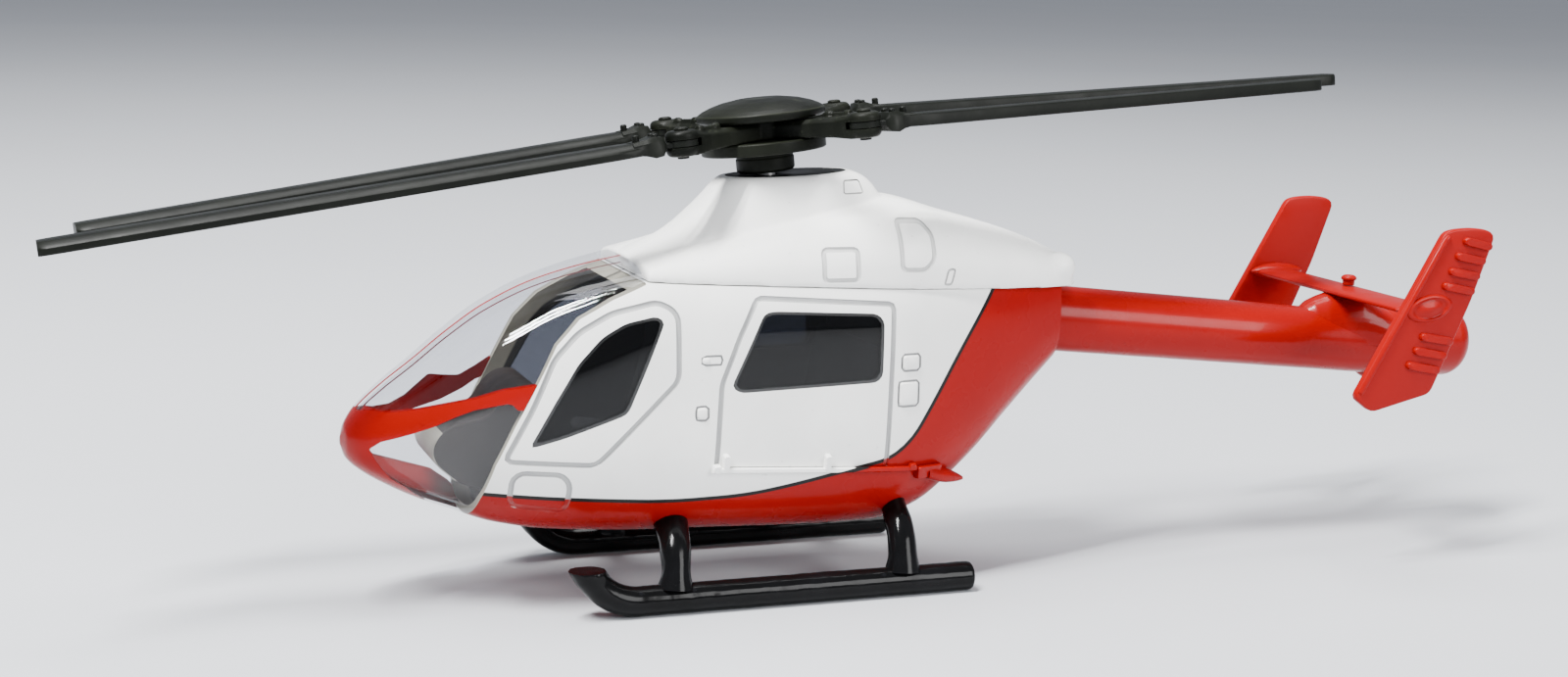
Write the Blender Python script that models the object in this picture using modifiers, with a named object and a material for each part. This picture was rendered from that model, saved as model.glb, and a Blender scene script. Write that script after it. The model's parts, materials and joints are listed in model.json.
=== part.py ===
"""Scale model of a twin-engined rescue helicopter, about 1:43, with folding rotor blades.

+X is the nose, +Y the port side and +Z up. The skids rest on Z = 0, and X = 0 is within 1 mm of
the middle of the overall length. Sizes are in millimetres and are turned into metres when a mesh is made.
"""

import math

import bmesh
import bpy
import numpy as np
from mathutils import Matrix, Vector

MM = 0.001
GAP = 0.3  # clearance between neighbouring pieces
WALL = 1.5  # thickness of the castings
GLASS = 1.2  # thickness of the clear canopy
PANE = 1.1  # thickness of the side windows

# Body cross-sections: station X, half width, crown Z, keel Z, Z of the widest line,
# upper and lower corner exponent (2 is an ellipse, 4 is nearly square).
HULL = (
    (89.0, 0.6, 28.9, 27.6, 28.2, 2.0, 2.0),
    (88.2, 3.4, 31.2, 25.4, 28.3, 2.1, 2.1),
    (86.0, 6.4, 34.2, 23.3, 28.5, 2.2, 2.2),
    (82.0, 9.2, 37.8, 20.8, 29.0, 2.3, 2.2),
    (77.0, 11.4, 41.6, 18.3, 29.6, 2.4, 2.3),
    (71.0, 13.7, 46.4, 16.0, 30.4, 2.5, 2.4),
    (64.5, 15.7, 50.8, 13.6, 31.2, 2.7, 2.5),
    (56.0, 17.5, 54.7, 12.0, 32.0, 3.1, 2.6),
    (47.5, 18.5, 57.1, 11.3, 32.6, 3.7, 2.7),
    (40.0, 18.9, 58.6, 10.9, 33.0, 4.3, 2.8),
    (30.0, 19.0, 60.5, 10.6, 33.0, 4.3, 2.8),
    (10.0, 18.9, 61.0, 9.9, 33.0, 4.3, 2.8),
    (-4.0, 18.5, 61.0, 9.7, 33.5, 4.2, 2.7),
    (-12.0, 17.4, 60.5, 11.4, 35.0, 4.0, 2.5),
    (-22.0, 15.0, 60.0, 18.4, 38.0, 3.6, 2.4),
    (-31.0, 12.1, 59.5, 27.3, 41.5, 3.2, 2.3),
    (-37.0, 9.9, 59.0, 33.2, 43.8, 3.0, 2.2),
    (-40.6, 8.6, 58.8, 36.8, 45.0, 3.0, 2.2),
)
NOSE_X = HULL[0][0]
REAR_X = HULL[-1][0]

# The deck is the plane where the upper cowling sits on the body. It rises towards the nose.
DECK_Z = 54.0
DECK_SLOPE = 0.047

# Side outline of the joint between canopy and body, from the windscreen's top to the chin.
WINDSCREEN_X = 40.5
PILLAR = (
    (WINDSCREEN_X, 55.6),
    (46.3, 53.2),
    (51.9, 50.2),
    (55.9, 46.0),
    (59.2, 39.6),
    (62.8, 32.6),
    (65.8, 26.0),
    (67.8, 19.6),
    (69.0, 14.0),
)

# Upper cowling: station X, overhang past the body's side, crown Z, corner exponent.
COWL = (
    (WINDSCREEN_X - GAP, 0.0, 58.6, 3.4),
    (34.0, 0.0, 60.6, 2.7),
    (24.0, 0.1, 63.6, 2.5),
    (12.0, 0.2, 66.4, 2.5),
    (0.0, 0.3, 68.2, 2.6),
    (-7.0, 0.4, 68.4, 2.6),
    (-18.6, 0.9, 65.6, 2.6),
    (-31.3, 1.8, 62.0, 2.5),
    (-38.0, 2.0, 59.5, 2.4),
    (-41.6, 1.4, 57.6, 2.3),
    (-44.0, -1.4, 55.0, 2.2),
)
EXHAUST = (-39.6, 7.2, 55.2)  # centre of the port exhaust bump
EXHAUST_R = 2.7

# Mast pylon: level Z, front X, rear X, half width.
PYLON = (
    (58.5, 41.0, -11.0, 14.0),
    (62.0, 33.5, -9.5, 11.6),
    (66.0, 28.6, -8.0, 9.6),
    (69.5, 25.4, -5.8, 8.4),
    (71.6, 23.6, -3.4, 7.6),
    (72.5, 22.4, -1.2, 6.6),
)
PYLON_TILT = 2.5  # degrees that the pylon's top face leans forward

# Windows, as side outlines.
FRONT_WINDOW = (
    (59.2, 29.8), (56.2, 36.6), (52.6, 43.0), (48.6, 47.3), (44.6, 49.6),
    (39.4, 50.7), (38.0, 49.8), (41.0, 42.4), (44.3, 34.4), (54.8, 30.6),
)
REAR_WINDOW = (
    (20.4, 50.4), (18.6, 50.9), (-0.2, 49.9), (-1.4, 48.6), (-1.3, 39.2), (-0.2, 38.2),
    (23.6, 37.7), (25.0, 39.0),
)

# Belly pan: the part of the hull below this side outline.
BELLY = ((64.0, 15.2), (-10.0, 12.9), (-12.6, 11.6))

# Cabin floor.
FLOOR_Z = 19.0
FLOOR_Y = 10.4

# Landing gear.
TRACK = 40.0
SKID_R = 2.6
SKID_Z = 2.4  # the tube is cut flat by 0.2 mm where it rests
SKID_REAR_X = -19.2
SKID_FRONT_X = 43.9
UPTURN_R = 8.0
UPTURN = 72.0  # degrees that the skid's front end turns up
LEG_R = 2.45
LEGS = (("front", 34.4, 35.9, 12.8), ("rear", -6.6, -5.9, 13.0))  # top X, foot X, top Z
LEG_TOP_Y = 11.6

# Tail.
BOOM_START = Vector((-40.9, 0.0, 45.0))
BOOM_SLOPE = 0.103  # fall of the boom's axis towards the tail
BOOM_R = 6.0
BOOM_LENGTH = 71.4
DRUM_R = 7.2
DRUM_LENGTH = 22.6
STAB_FRONT_X = -100.5
STAB_CHORD = 9.6
STAB_Z = 48.4
STAB_T = 1.8
FIN_Y = 26.3
FIN_T = 1.6
FIN = (
    (-109.5, 63.0), (-111.5, 63.5), (-115.0, 63.7), (-118.4, 63.4), (-120.0, 62.7), (-120.4, 61.6),
    (-116.4, 50.1), (-108.8, 32.7), (-96.4, 30.1), (-92.6, 32.9),
)

# Rotor. The mast leans forward, and each blade is folded about a pin at its root.
MAST_X = 14.2
MAST_Z = 72.2
MAST_TILT = 6.2  # degrees forward
MAST_LEAN = 2.8  # degrees to starboard, because the rotor sits loosely on its pin
CROSS_YAW = -12.0
HINGE_R = 22.0
BLADE_LENGTH = 104.0
BLADE_CHORD = 7.0
BLADE_T = 2.2
DROOP = 2.5
# name, arm direction before the yaw, direction that the folded blade points
BLADES = (
    ("front_port", 45.0, -0.5),
    ("front_starboard", -45.0, 3.1),
    ("rear_port", 135.0, 192.0),
    ("rear_starboard", 225.0, 179.4),
)

WHITE = ("gloss_white_paint", (0.86, 0.86, 0.84), 0.18, 0.0)
RED = ("gloss_red_paint", (0.72, 0.02, 0.012), 0.2, 0.0)
CLEAR = ("clear_plastic", (0.75, 0.8, 0.82), 0.05, 0.0)
TINT = ("tinted_plastic", (0.02, 0.022, 0.025), 0.08, 0.0)
GREY_PLASTIC = ("dark_grey_plastic", (0.035, 0.038, 0.034), 0.5, 0.0)
BLACK_GLOSS = ("gloss_black_plastic", (0.008, 0.008, 0.008), 0.12, 0.0)
CABIN = ("cabin_plastic", (0.08, 0.075, 0.065), 0.6, 0.0)
STEEL = ("zinc_plated_steel", (0.6, 0.6, 0.58), 0.3, 1.0)


def clear_scene():
    for obj in list(bpy.data.objects):
        bpy.data.objects.remove(obj, do_unlink=True)


def make_collection(name):
    collection = bpy.data.collections.new(name)
    bpy.context.scene.collection.children.link(collection)
    return collection


def material(finish):
    name, colour, roughness, metallic = finish
    found = bpy.data.materials.get(name)
    if found:
        return found
    made = bpy.data.materials.new(name)
    made.use_nodes = True
    shader = made.node_tree.nodes["Principled BSDF"]
    shader.inputs["Base Color"].default_value = (*colour, 1.0)
    shader.inputs["Roughness"].default_value = roughness
    shader.inputs["Metallic"].default_value = metallic
    if name == CLEAR[0]:
        shader.inputs["Transmission Weight"].default_value = 0.9
    return made


def put(bm, name, collection, finish=None):
    """A new object from a bmesh in millimetres, with its faces turned outwards."""
    bmesh.ops.recalc_face_normals(bm, faces=bm.faces)
    bmesh.ops.scale(bm, vec=(MM, MM, MM), verts=bm.verts)
    mesh = bpy.data.meshes.new(name)
    bm.to_mesh(mesh)
    bm.free()
    obj = bpy.data.objects.new(name, mesh)
    collection.objects.link(obj)
    if finish:
        mesh.materials.append(material(finish))
    return obj


def part(bm, name, finish):
    return put(bm, name, PARTS, finish)


def cutter(bm, name):
    obj = put(bm, name, CUTTERS)
    obj.hide_render = True
    obj.display_type = "WIRE"
    return obj


def boolean(obj, operation, *others):
    for other in others:
        modifier = obj.modifiers.new(operation.lower() + "_" + other.name, "BOOLEAN")
        modifier.operation = operation
        modifier.object = other
    return obj


def smooth(obj, angle=32):
    obj.data.shade_smooth()
    obj.data.set_sharp_from_angle(angle=math.radians(angle))


def baked(obj):
    """The object's mesh with its modifiers applied, as a plain mesh."""
    bpy.context.view_layer.update()
    graph = bpy.context.evaluated_depsgraph_get()
    return bpy.data.meshes.new_from_object(obj.evaluated_get(graph))


def mirrored(obj, name):
    """The starboard copy of a port piece."""
    mesh = baked(obj)
    mesh.transform(Matrix.Diagonal((1, -1, 1, 1)) @ obj.matrix_world)
    mesh.flip_normals()
    copy = bpy.data.objects.new(name, mesh)
    PARTS.objects.link(copy)
    return copy


def interpolate(table, x):
    """The row of the table at x, from a smooth curve through its rows that doesn't overshoot."""
    rows = np.array(table, float)[::-1]
    places = rows[:, 0]
    x = min(max(x, places[0]), places[-1])
    step = np.diff(rows, axis=0)
    slope = step / step[:, :1]
    tangent = np.zeros_like(rows)
    tangent[0], tangent[-1] = slope[0], slope[-1]
    for i in range(1, len(rows) - 1):
        before, after = slope[i - 1], slope[i]
        same = before * after > 0
        total = np.where(same, before + after, 1.0)
        tangent[i] = np.where(same, 2.0 * before * after / total, 0.0)
    i = min(int(np.searchsorted(places, x, side="right")) - 1, len(rows) - 2)
    i = max(i, 0)
    width = places[i + 1] - places[i]
    t = (x - places[i]) / width
    return (
        (1 + 2 * t) * (1 - t) ** 2 * rows[i]
        + t * (1 - t) ** 2 * width * tangent[i]
        + t * t * (3 - 2 * t) * rows[i + 1]
        + t * t * (t - 1) * width * tangent[i + 1]
    )


def corner(angle, exponent):
    """A point of the superellipse quarter, from 0 at the side to 90 degrees at the crown."""
    return (
        abs(math.cos(angle)) ** (2 / exponent),
        abs(math.sin(angle)) ** (2 / exponent),
    )


def hull_ring(x, inset, count):
    """The body's cross-section at x, from the keel up the port side and down the other."""
    _, half, crown, keel, middle, upper, lower = interpolate(HULL, x)
    half = max(half - inset, 0.2)
    rise = max(crown - middle - inset, 0.2)
    drop = max(middle - keel - inset, 0.2)
    ring = []
    for i in range(count):
        angle = 2 * math.pi * i / count - math.pi / 2
        above = math.sin(angle) >= 0
        side, height = corner(angle, upper if above else lower)
        y = math.copysign(half * side, math.cos(angle)) if side > 1e-6 else 0.0
        ring.append((x, y, middle + (rise if above else -drop) * height))
    return ring


def hull_side(x, z, inset=0.0):
    """The body's half width at height z."""
    _, half, crown, keel, middle, upper, lower = interpolate(HULL, x)
    reach, exponent = (crown - middle, upper) if z >= middle else (middle - keel, lower)
    share = min(abs(z - middle) / (reach - inset), 1.0)
    return (half - inset) * (1 - share**exponent) ** (1 / exponent)


def deck_z(x):
    return DECK_Z + DECK_SLOPE * x


def loft(rings):
    """A closed skin over rings of points, with flat ends."""
    bm = bmesh.new()
    rows = [[bm.verts.new(point) for point in ring] for ring in rings]
    count = len(rows[0])
    for one, two in zip(rows, rows[1:]):
        for i in range(count):
            j = (i + 1) % count
            bm.faces.new((one[i], one[j], two[j], two[i]))
    bm.faces.new(rows[0])
    bm.faces.new(reversed(rows[-1]))
    return bm


def slab(outline, low, high):
    """A side outline in X and Z, given a thickness from y = low to y = high."""
    return loft([[(x, y, z) for x, z in outline] for y in (low, high)])


def box(low, high):
    bm = bmesh.new()
    bmesh.ops.create_cube(bm, size=1.0)
    size = [b - a for a, b in zip(low, high)]
    middle = [(a + b) / 2 for a, b in zip(low, high)]
    bmesh.ops.scale(bm, vec=size, verts=bm.verts)
    bmesh.ops.translate(bm, vec=middle, verts=bm.verts)
    return bm


def cylinder(radius, low, high, sides=20, place=Matrix()):
    bm = bmesh.new()
    bmesh.ops.create_cone(
        bm, cap_ends=True, segments=sides, radius1=radius, radius2=radius, depth=high - low
    )
    bmesh.ops.translate(bm, vec=(0, 0, (low + high) / 2), verts=bm.verts)
    bmesh.ops.transform(bm, matrix=place, verts=bm.verts)
    return bm


def turned(profile, name, finish, steps=28, place=Matrix()):
    """A turned piece: the profile runs down its outer side, as (radius, height) pairs."""
    mesh = bpy.data.meshes.new(name)
    points = [(radius * MM, 0.0, height * MM) for radius, height in profile]
    mesh.from_pydata(points, [(i, i + 1) for i in range(len(points) - 1)], [])
    obj = bpy.data.objects.new(name, mesh)
    PARTS.objects.link(obj)
    mesh.materials.append(material(finish))
    screw = obj.modifiers.new("turn", "SCREW")
    screw.steps = screw.render_steps = steps
    screw.use_merge_vertices = True
    screw.merge_threshold = 0.00001
    screw.use_smooth_shade = True
    obj.matrix_world = scaled(place)
    return obj


def scaled(matrix):
    """The same placement with its shift in metres."""
    result = matrix.copy()
    result.translation *= MM
    return result


def tube(points, radius, name, collection, finish=None, rounds=3, radii=None):
    """A round bar along the points, as a mesh with welded end caps."""
    curve = bpy.data.curves.new(name, "CURVE")
    curve.dimensions = "3D"
    curve.bevel_depth = radius * MM
    curve.bevel_resolution = rounds
    curve.use_fill_caps = True
    spline = curve.splines.new("POLY")
    spline.points.add(len(points) - 1)
    for i, point in enumerate(points):
        spline.points[i].co = (*(value * MM for value in point), 1.0)
        spline.points[i].radius = radii[i] if radii else 1.0
    guide = bpy.data.objects.new(name + "_path", curve)
    CUTTERS.objects.link(guide)
    mesh = baked(guide)
    bpy.data.objects.remove(guide)
    bm = bmesh.new()
    bm.from_mesh(mesh)
    bmesh.ops.remove_doubles(bm, verts=bm.verts, dist=0.000001)
    bmesh.ops.scale(bm, vec=(1 / MM, 1 / MM, 1 / MM), verts=bm.verts)
    return put(bm, name, collection, finish)


def nose_outline(shift):
    """The side region ahead of the joint line between canopy and body."""
    joint = [(x + shift, z) for x, z in PILLAR]
    return [(joint[0][0], 75.0), *joint, (joint[-1][0], 0.0), (100.0, 0.0), (100.0, 75.0)]


def belly_outline(shift):
    """The side region of the belly pan."""
    top = [(x, z - shift) for x, z in BELLY]
    return [*top, (BELLY[-1][0], 0.0), (BELLY[0][0], 0.0)]


def above_deck(x_front, x_rear, lift, y=30.0, top=90.0):
    outline = [
        (x_front, deck_z(x_front) + lift),
        (x_rear, deck_z(x_rear) + lift),
        (x_rear, top),
        (x_front, top),
    ]
    return slab(outline, -y, y)


def grown(outline, margin):
    """The outline moved inwards (negative margin) or outwards along its edges' normals."""
    points = [Vector(point) for point in outline]
    area = sum(a.x * b.y - b.x * a.y for a, b in zip(points, points[1:] + points[:1]))
    turn = math.copysign(1, area)
    moved = []
    for i, point in enumerate(points):
        before = (point - points[i - 1]).normalized()
        after = (points[(i + 1) % len(points)] - point).normalized()
        normal = Vector((before.y + after.y, -before.x - after.x)) * turn
        normal *= 1 / max(normal.length_squared / 2, 0.5)
        moved.append(tuple(point + normal * margin))
    return moved


def stations(front, rear, count):
    """Places along the body, closer together towards the nose."""
    return [rear + (front - rear) * math.sin(math.pi / 2 * i / count) for i in range(count, -1, -1)]


def hull(inset, front, rear, count, around):
    return loft([hull_ring(x, inset, around) for x in stations(front, rear, count)])


def make_body():
    """The casting that carries everything, with a cabin cavity and window openings."""
    body = part(hull(0.0, NOSE_X - 4, REAR_X, 22, 36), "body_shell", WHITE)
    cavity = cutter(hull(WALL, NOSE_X - 6, REAR_X + 5, 16, 28), "cabin_cavity")
    roof = cutter(above_deck(100, -60, -WALL), "cavity_roof")
    boolean(cavity, "DIFFERENCE", roof)
    nose = cutter(slab(nose_outline(0.0), -30, 30), "nose_space")
    deck = cutter(above_deck(100, -60, 0.0), "deck_cut")
    belly = cutter(slab(belly_outline(0.0), -30, 30), "belly_space")
    front = cutter(slab(FRONT_WINDOW, -30, 30), "front_window_holes")
    rear = cutter(slab(REAR_WINDOW, -30, 30), "rear_window_holes")
    bore = cutter(cylinder(4.0 + GAP, -12, 6, 24, boom_place()), "boom_socket")
    boolean(body, "DIFFERENCE", cavity, nose, deck, belly, front, rear, bore)
    smooth(body)
    return body


def make_belly_pan():
    pan = part(hull(0.0, NOSE_X - 4, REAR_X, 22, 36), "belly_pan", RED)
    keep = cutter(slab(belly_outline(GAP), -30, 30), "belly_keep")
    cavity = cutter(hull(WALL, NOSE_X - 6, REAR_X + 5, 16, 28), "belly_cavity")
    boolean(pan, "INTERSECT", keep)
    boolean(pan, "DIFFERENCE", cavity)
    smooth(pan)
    return pan


def make_canopy():
    canopy = part(hull(0.0, NOSE_X, 30.0, 20, 36), "nose_canopy", CLEAR)
    keep = cutter(slab(nose_outline(GAP), -30, 30), "nose_keep")
    hollow = cutter(hull(GLASS, NOSE_X - GLASS, 20.0, 18, 32), "canopy_hollow")
    boolean(canopy, "INTERSECT", keep)
    boolean(canopy, "DIFFERENCE", hollow)
    smooth(canopy)
    return canopy


def make_window(outline, name):
    """A port pane and its starboard copy, flush with the body's skin."""
    pane = part(hull(0.0, NOSE_X - 4, REAR_X, 22, 36), name + "_port", TINT)
    keep = cutter(slab(grown(outline, -GAP), 2, 30), name + "_keep")
    inside = cutter(hull(PANE, NOSE_X - 4 - PANE, REAR_X - 2, 22, 36), name + "_inside")
    boolean(pane, "INTERSECT", keep)
    boolean(pane, "DIFFERENCE", inside)
    mirrored(pane, name + "_starboard")


def cowl_ring(x, inset, count, floor):
    _, overhang, crown, exponent = interpolate(COWL, x)
    base = deck_z(x) + floor
    half = hull_side(x, deck_z(x)) + overhang - inset
    rise = max(crown - base - inset, 0.4)
    ring = []
    for i in range(count + 1):
        side, height = corner(math.pi * i / count, exponent)
        y = half * side * (1 if i < count / 2 else -1)
        ring.append((x, y if side > 1e-6 else 0.0, base + rise * height))
    return ring


def cowl(inset, floor, front, rear, count, around):
    places = [front + (rear - front) * math.sin(math.pi / 2 * i / count) for i in range(count + 1)]
    return loft([cowl_ring(x, inset, around, floor) for x in places])


def pylon(inset, count=28):
    """The fairing round the mast, lofted level by level."""
    rings = []
    for z, front, rear, half in PYLON:
        middle, reach = (front + rear) / 2, (front - rear) / 2 - inset
        ring = []
        for i in range(count):
            angle = 2 * math.pi * i / count
            x, y = reach * math.cos(angle), (half - inset) * math.sin(angle)
            lean = math.tan(math.radians(PYLON_TILT)) * x if z > 68 else 0.0
            ring.append((middle + x, y, z - inset * (z > 71) - lean))
        rings.append(ring)
    return loft(rings)


def make_cowling():
    cowling = part(cowl(0.0, GAP, COWL[0][0], COWL[-1][0], 22, 24), "upper_cowling", WHITE)
    mast_fairing = cutter(pylon(0.0), "mast_pylon")
    boolean(cowling, "UNION", mast_fairing)
    for side in (1, -1):
        x, y, z = EXHAUST
        bump = bmesh.new()
        bmesh.ops.create_uvsphere(bump, u_segments=14, v_segments=10, radius=EXHAUST_R)
        bmesh.ops.scale(bump, vec=(1.1, 1.0, 1.0), verts=bump.verts)
        bmesh.ops.translate(bump, vec=(x, side * y, z), verts=bump.verts)
        boolean(cowling, "UNION", cutter(bump, f"exhaust_bump_{side}"))
    inside = cutter(cowl(WALL, -4.0, COWL[0][0] - WALL, -36.0, 14, 16), "cowling_hollow")
    recess = cutter(cylinder(8.2, -1.0, 4.0, 28, stretched(1.36, 0.72)), "mast_recess")
    bore = cutter(cylinder(1.9, -30, 4.0, 16, mast_place()), "mast_bore")
    boolean(cowling, "DIFFERENCE", inside, recess, bore)
    smooth(cowling)
    return cowling


def mast_place():
    """The rotor's frame: its origin on the pylon's top, its Z along the mast."""
    return (
        Matrix.Translation((MAST_X, 0, MAST_Z))
        @ Matrix.Rotation(math.radians(MAST_TILT), 4, "Y")
        @ Matrix.Rotation(math.radians(MAST_LEAN), 4, "X")
    )


def stretched(along, across):
    """The frame of the oval recess in the pylon's top."""
    middle = (PYLON[-1][1] + PYLON[-1][2]) / 2
    return (
        Matrix.Translation((middle, 0, PYLON[-1][0]))
        @ Matrix.Rotation(math.radians(PYLON_TILT), 4, "Y")
        @ Matrix.Diagonal((along, across, 1, 1))
    )


def boom_place():
    """The tail boom's frame: its Z runs along the boom towards the tail."""
    direction = Vector((-1, 0, -BOOM_SLOPE)).normalized()
    return Matrix.Translation(BOOM_START) @ direction.to_track_quat("Z", "Y").to_matrix().to_4x4()


def drum_place():
    """The thruster drum's frame: level, from the boom's end towards the tail."""
    end = boom_place() @ Vector((0, 0, BOOM_LENGTH + 2 * GAP))
    return Matrix.Translation(end) @ Matrix.Rotation(-math.pi / 2, 4, "Y")


def make_tail_boom():
    profile = (
        (0.0, BOOM_LENGTH + 6), (4.0, BOOM_LENGTH + 6), (4.0, BOOM_LENGTH), (BOOM_R, BOOM_LENGTH),
        (BOOM_R + 0.15, 0.4), (4.0, 0.4), (4.0, -6.0), (0.0, -6.0),
    )
    boom = turned(profile, "tail_boom", RED, 28, boom_place())
    round_end = [
        (DRUM_R * math.cos(math.radians(a)), DRUM_LENGTH - 5.0 * (1 - math.sin(math.radians(a))))
        for a in (66, 42, 20, 0)
    ]
    socket = ((DRUM_R, 0.5), (DRUM_R - 0.5, 0.0), (5.0, 0.0), (5.0, 6.8), (0.0, 6.8))
    profile = [(0.0, DRUM_LENGTH), *round_end, *socket]
    turned(profile, "thruster_drum", RED, 28, drum_place())
    return boom


def make_stabiliser():
    """The bar between the fins, its saddle on the boom, and the light on top."""
    half = STAB_T / 2
    rear = STAB_FRONT_X - STAB_CHORD
    section = (
        (STAB_FRONT_X, STAB_Z), (STAB_FRONT_X - 0.4, STAB_Z + 0.6 * half),
        (STAB_FRONT_X - 1.6, STAB_Z + half),
        (rear + 3.5, STAB_Z + 0.9 * half), (rear, STAB_Z + 0.35 * half), (rear, STAB_Z - 0.35 * half),
        (rear + 3.5, STAB_Z - 0.9 * half), (STAB_FRONT_X - 1.6, STAB_Z - half),
        (STAB_FRONT_X - 0.4, STAB_Z - 0.6 * half),
    )
    reach = FIN_Y - FIN_T / 2 - GAP
    bar = part(slab(section, -reach, reach), "stabiliser", RED)
    smooth(bar)
    under = STAB_Z - half - GAP
    outline = (
        (-98.5, 43.0), (-101.5, under), (-108.5, under), (-111.4, 44.0), (-111.4, 40.0), (-98.5, 41.0),
    )
    saddle = part(slab(outline, -3.4, 3.4), "stabiliser_saddle", RED)
    boom_room = cutter(cylinder(BOOM_R + 0.15 + GAP, 40, 80, 28, boom_place()), "boom_room")
    boolean(saddle, "DIFFERENCE", boom_room)
    top = STAB_Z + half + GAP
    light = ((0.0, top + 1.1), (0.6, top + 1.0), (0.9, top + 0.7), (0.9, top), (0.0, top))
    turned(light, "tail_light", RED, 14, Matrix.Translation((-107.9, 0, 0)))
    fin = part(slab(FIN, FIN_Y - FIN_T / 2, FIN_Y + FIN_T / 2), "fin_port", RED)
    mirrored(fin, "fin_starboard")


def skid_path():
    points = [(SKID_REAR_X, SKID_Z), (0.0, SKID_Z), (20.0, SKID_Z), (SKID_FRONT_X, SKID_Z)]
    steps = 7
    for i in range(1, steps + 1):
        angle = math.radians(UPTURN) * i / steps
        points.append(
            (SKID_FRONT_X + UPTURN_R * math.sin(angle), SKID_Z + UPTURN_R * (1 - math.cos(angle)))
        )
    return points


def leg_path(top_x, foot_x, top_z):
    """From inside the belly, down and outwards to the top of the skid."""
    foot = Vector((foot_x, TRACK / 2, SKID_Z + SKID_R + GAP))
    top = Vector((top_x, LEG_TOP_Y, top_z))
    knee = top.lerp(foot, 0.45) + Vector((0, 1.3, 1.1))
    ankle = top.lerp(foot, 0.8) + Vector((0, 1.0, 0.9))
    return [top + Vector((0, -1.6, 2.2)), top, knee, ankle, foot]


def make_landing_gear(body, pan):
    y = TRACK / 2
    path = [(x, y, z) for x, z in skid_path()]
    skid = tube(path, SKID_R, "skid_port", PARTS, BLACK_GLOSS, 3)
    floor = cutter(box((-40, 0, -10), (70, 40, 0)), "floor_cut")
    boolean(skid, "DIFFERENCE", floor)
    mirrored(skid, "skid_starboard")
    for name, top_x, foot_x, top_z in LEGS:
        path = leg_path(top_x, foot_x, top_z)
        swell = (1.25, 1.2, 1.0, 0.95, 1.1)
        leg = tube(path, LEG_R, f"{name}_leg_port", PARTS, BLACK_GLOSS, 2, swell)
        room = [(radius * LEG_R + GAP) / LEG_R for radius in swell]
        longer = [path[0] + (path[0] - path[1]) * 0.6, *path[1:]]
        for side in (1, -1):
            points = [(x, side * y, z) for x, y, z in longer]
            hole = tube(points, LEG_R, f"{name}_leg_hole_{side}", CUTTERS, None, 2, room)
            hole.hide_render = True
            hole.display_type = "WIRE"
            boolean(body, "DIFFERENCE", hole)
            boolean(pan, "DIFFERENCE", hole)
        trim = cutter(cylinder(SKID_R + GAP, -30, 60, 20, skid_axis()), f"{name}_foot_trim")
        boolean(leg, "DIFFERENCE", trim)
        mirrored(leg, f"{name}_leg_starboard")


def skid_axis():
    return Matrix.Translation((0, TRACK / 2, SKID_Z)) @ Matrix.Rotation(math.pi / 2, 4, "Y")


def make_door_rails():
    """The slide rail under each rear door, and the pointed fairing behind it."""
    places = [29.4 + (-9.0 - 29.4) * i / 8 for i in range(9)]
    path = []
    for x in places:
        z = 22.6 + 0.055 * x
        path.append((x, hull_side(x, z) + 0.75 + GAP, z))
    rail = tube(path, 0.75, "door_rail_port", PARTS, WHITE, 1)
    mirrored(rail, "door_rail_starboard")
    section = ((0, -1), (0.7, -0.9), (1, 0), (0.7, 0.9), (0, 1))
    rings = []
    for x, reach, half in ((-9.4, 1.3, 1.3), (-12.0, 1.9, 1.7), (-16.0, 1.7, 1.4), (-19.0, 0.9, 0.6)):
        z = 21.8 + 0.09 * (x + 9.4)
        inner = max(hull_side(x, z - half), hull_side(x, z + half)) + 2 * GAP
        rings.append([(x, inner + reach * out, z + half * up) for out, up in section])
    fairing = part(loft(rings), "rail_fairing_port", RED)
    mirrored(fairing, "rail_fairing_starboard")


def make_cabin():
    """The floor with its rear bulkhead, three seats and the instrument panel."""
    tub = part(box((-5, -FLOOR_Y, FLOOR_Z - 1.1), (58, FLOOR_Y, FLOOR_Z)), "cabin_tub", CABIN)
    wall = cutter(loft([hull_ring(x, WALL + 0.6, 24) for x in (-6.2, -4.4)]), "bulkhead")
    keep = cutter(box((-8, -20, FLOOR_Z - 1.2), (-3, 20, 50.5)), "bulkhead_keep")
    boolean(wall, "INTERSECT", keep)
    boolean(tub, "UNION", wall)
    low = FLOOR_Z + GAP
    bench = ((-4.1, low), (11.0, low), (11.5, 27.5), (2.0, 26.5), (-1.5, 43.0), (-4.1, 43.0))
    part(slab(bench, -13.5, 13.5), "rear_bench", CABIN)
    seat = ((30.0, low), (45.0, low), (46.5, 28.0), (36.0, 26.5), (31.0, 46.0), (28.0, 46.0))
    pilot = part(slab(seat, 1.6, 12.8), "seat_port", CABIN)
    mirrored(pilot, "seat_starboard")
    dash = (
        (52.0, low), (64.0, low), (70.5, 21.5), (74.5, 25.0), (75.3, 28.0), (73.2, 32.0),
        (69.0, 35.4), (63.5, 38.4), (57.0, 38.8), (55.5, 35.0),
    )
    part(slab(dash, -8.0, 8.0), "instrument_panel", CABIN)


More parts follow.
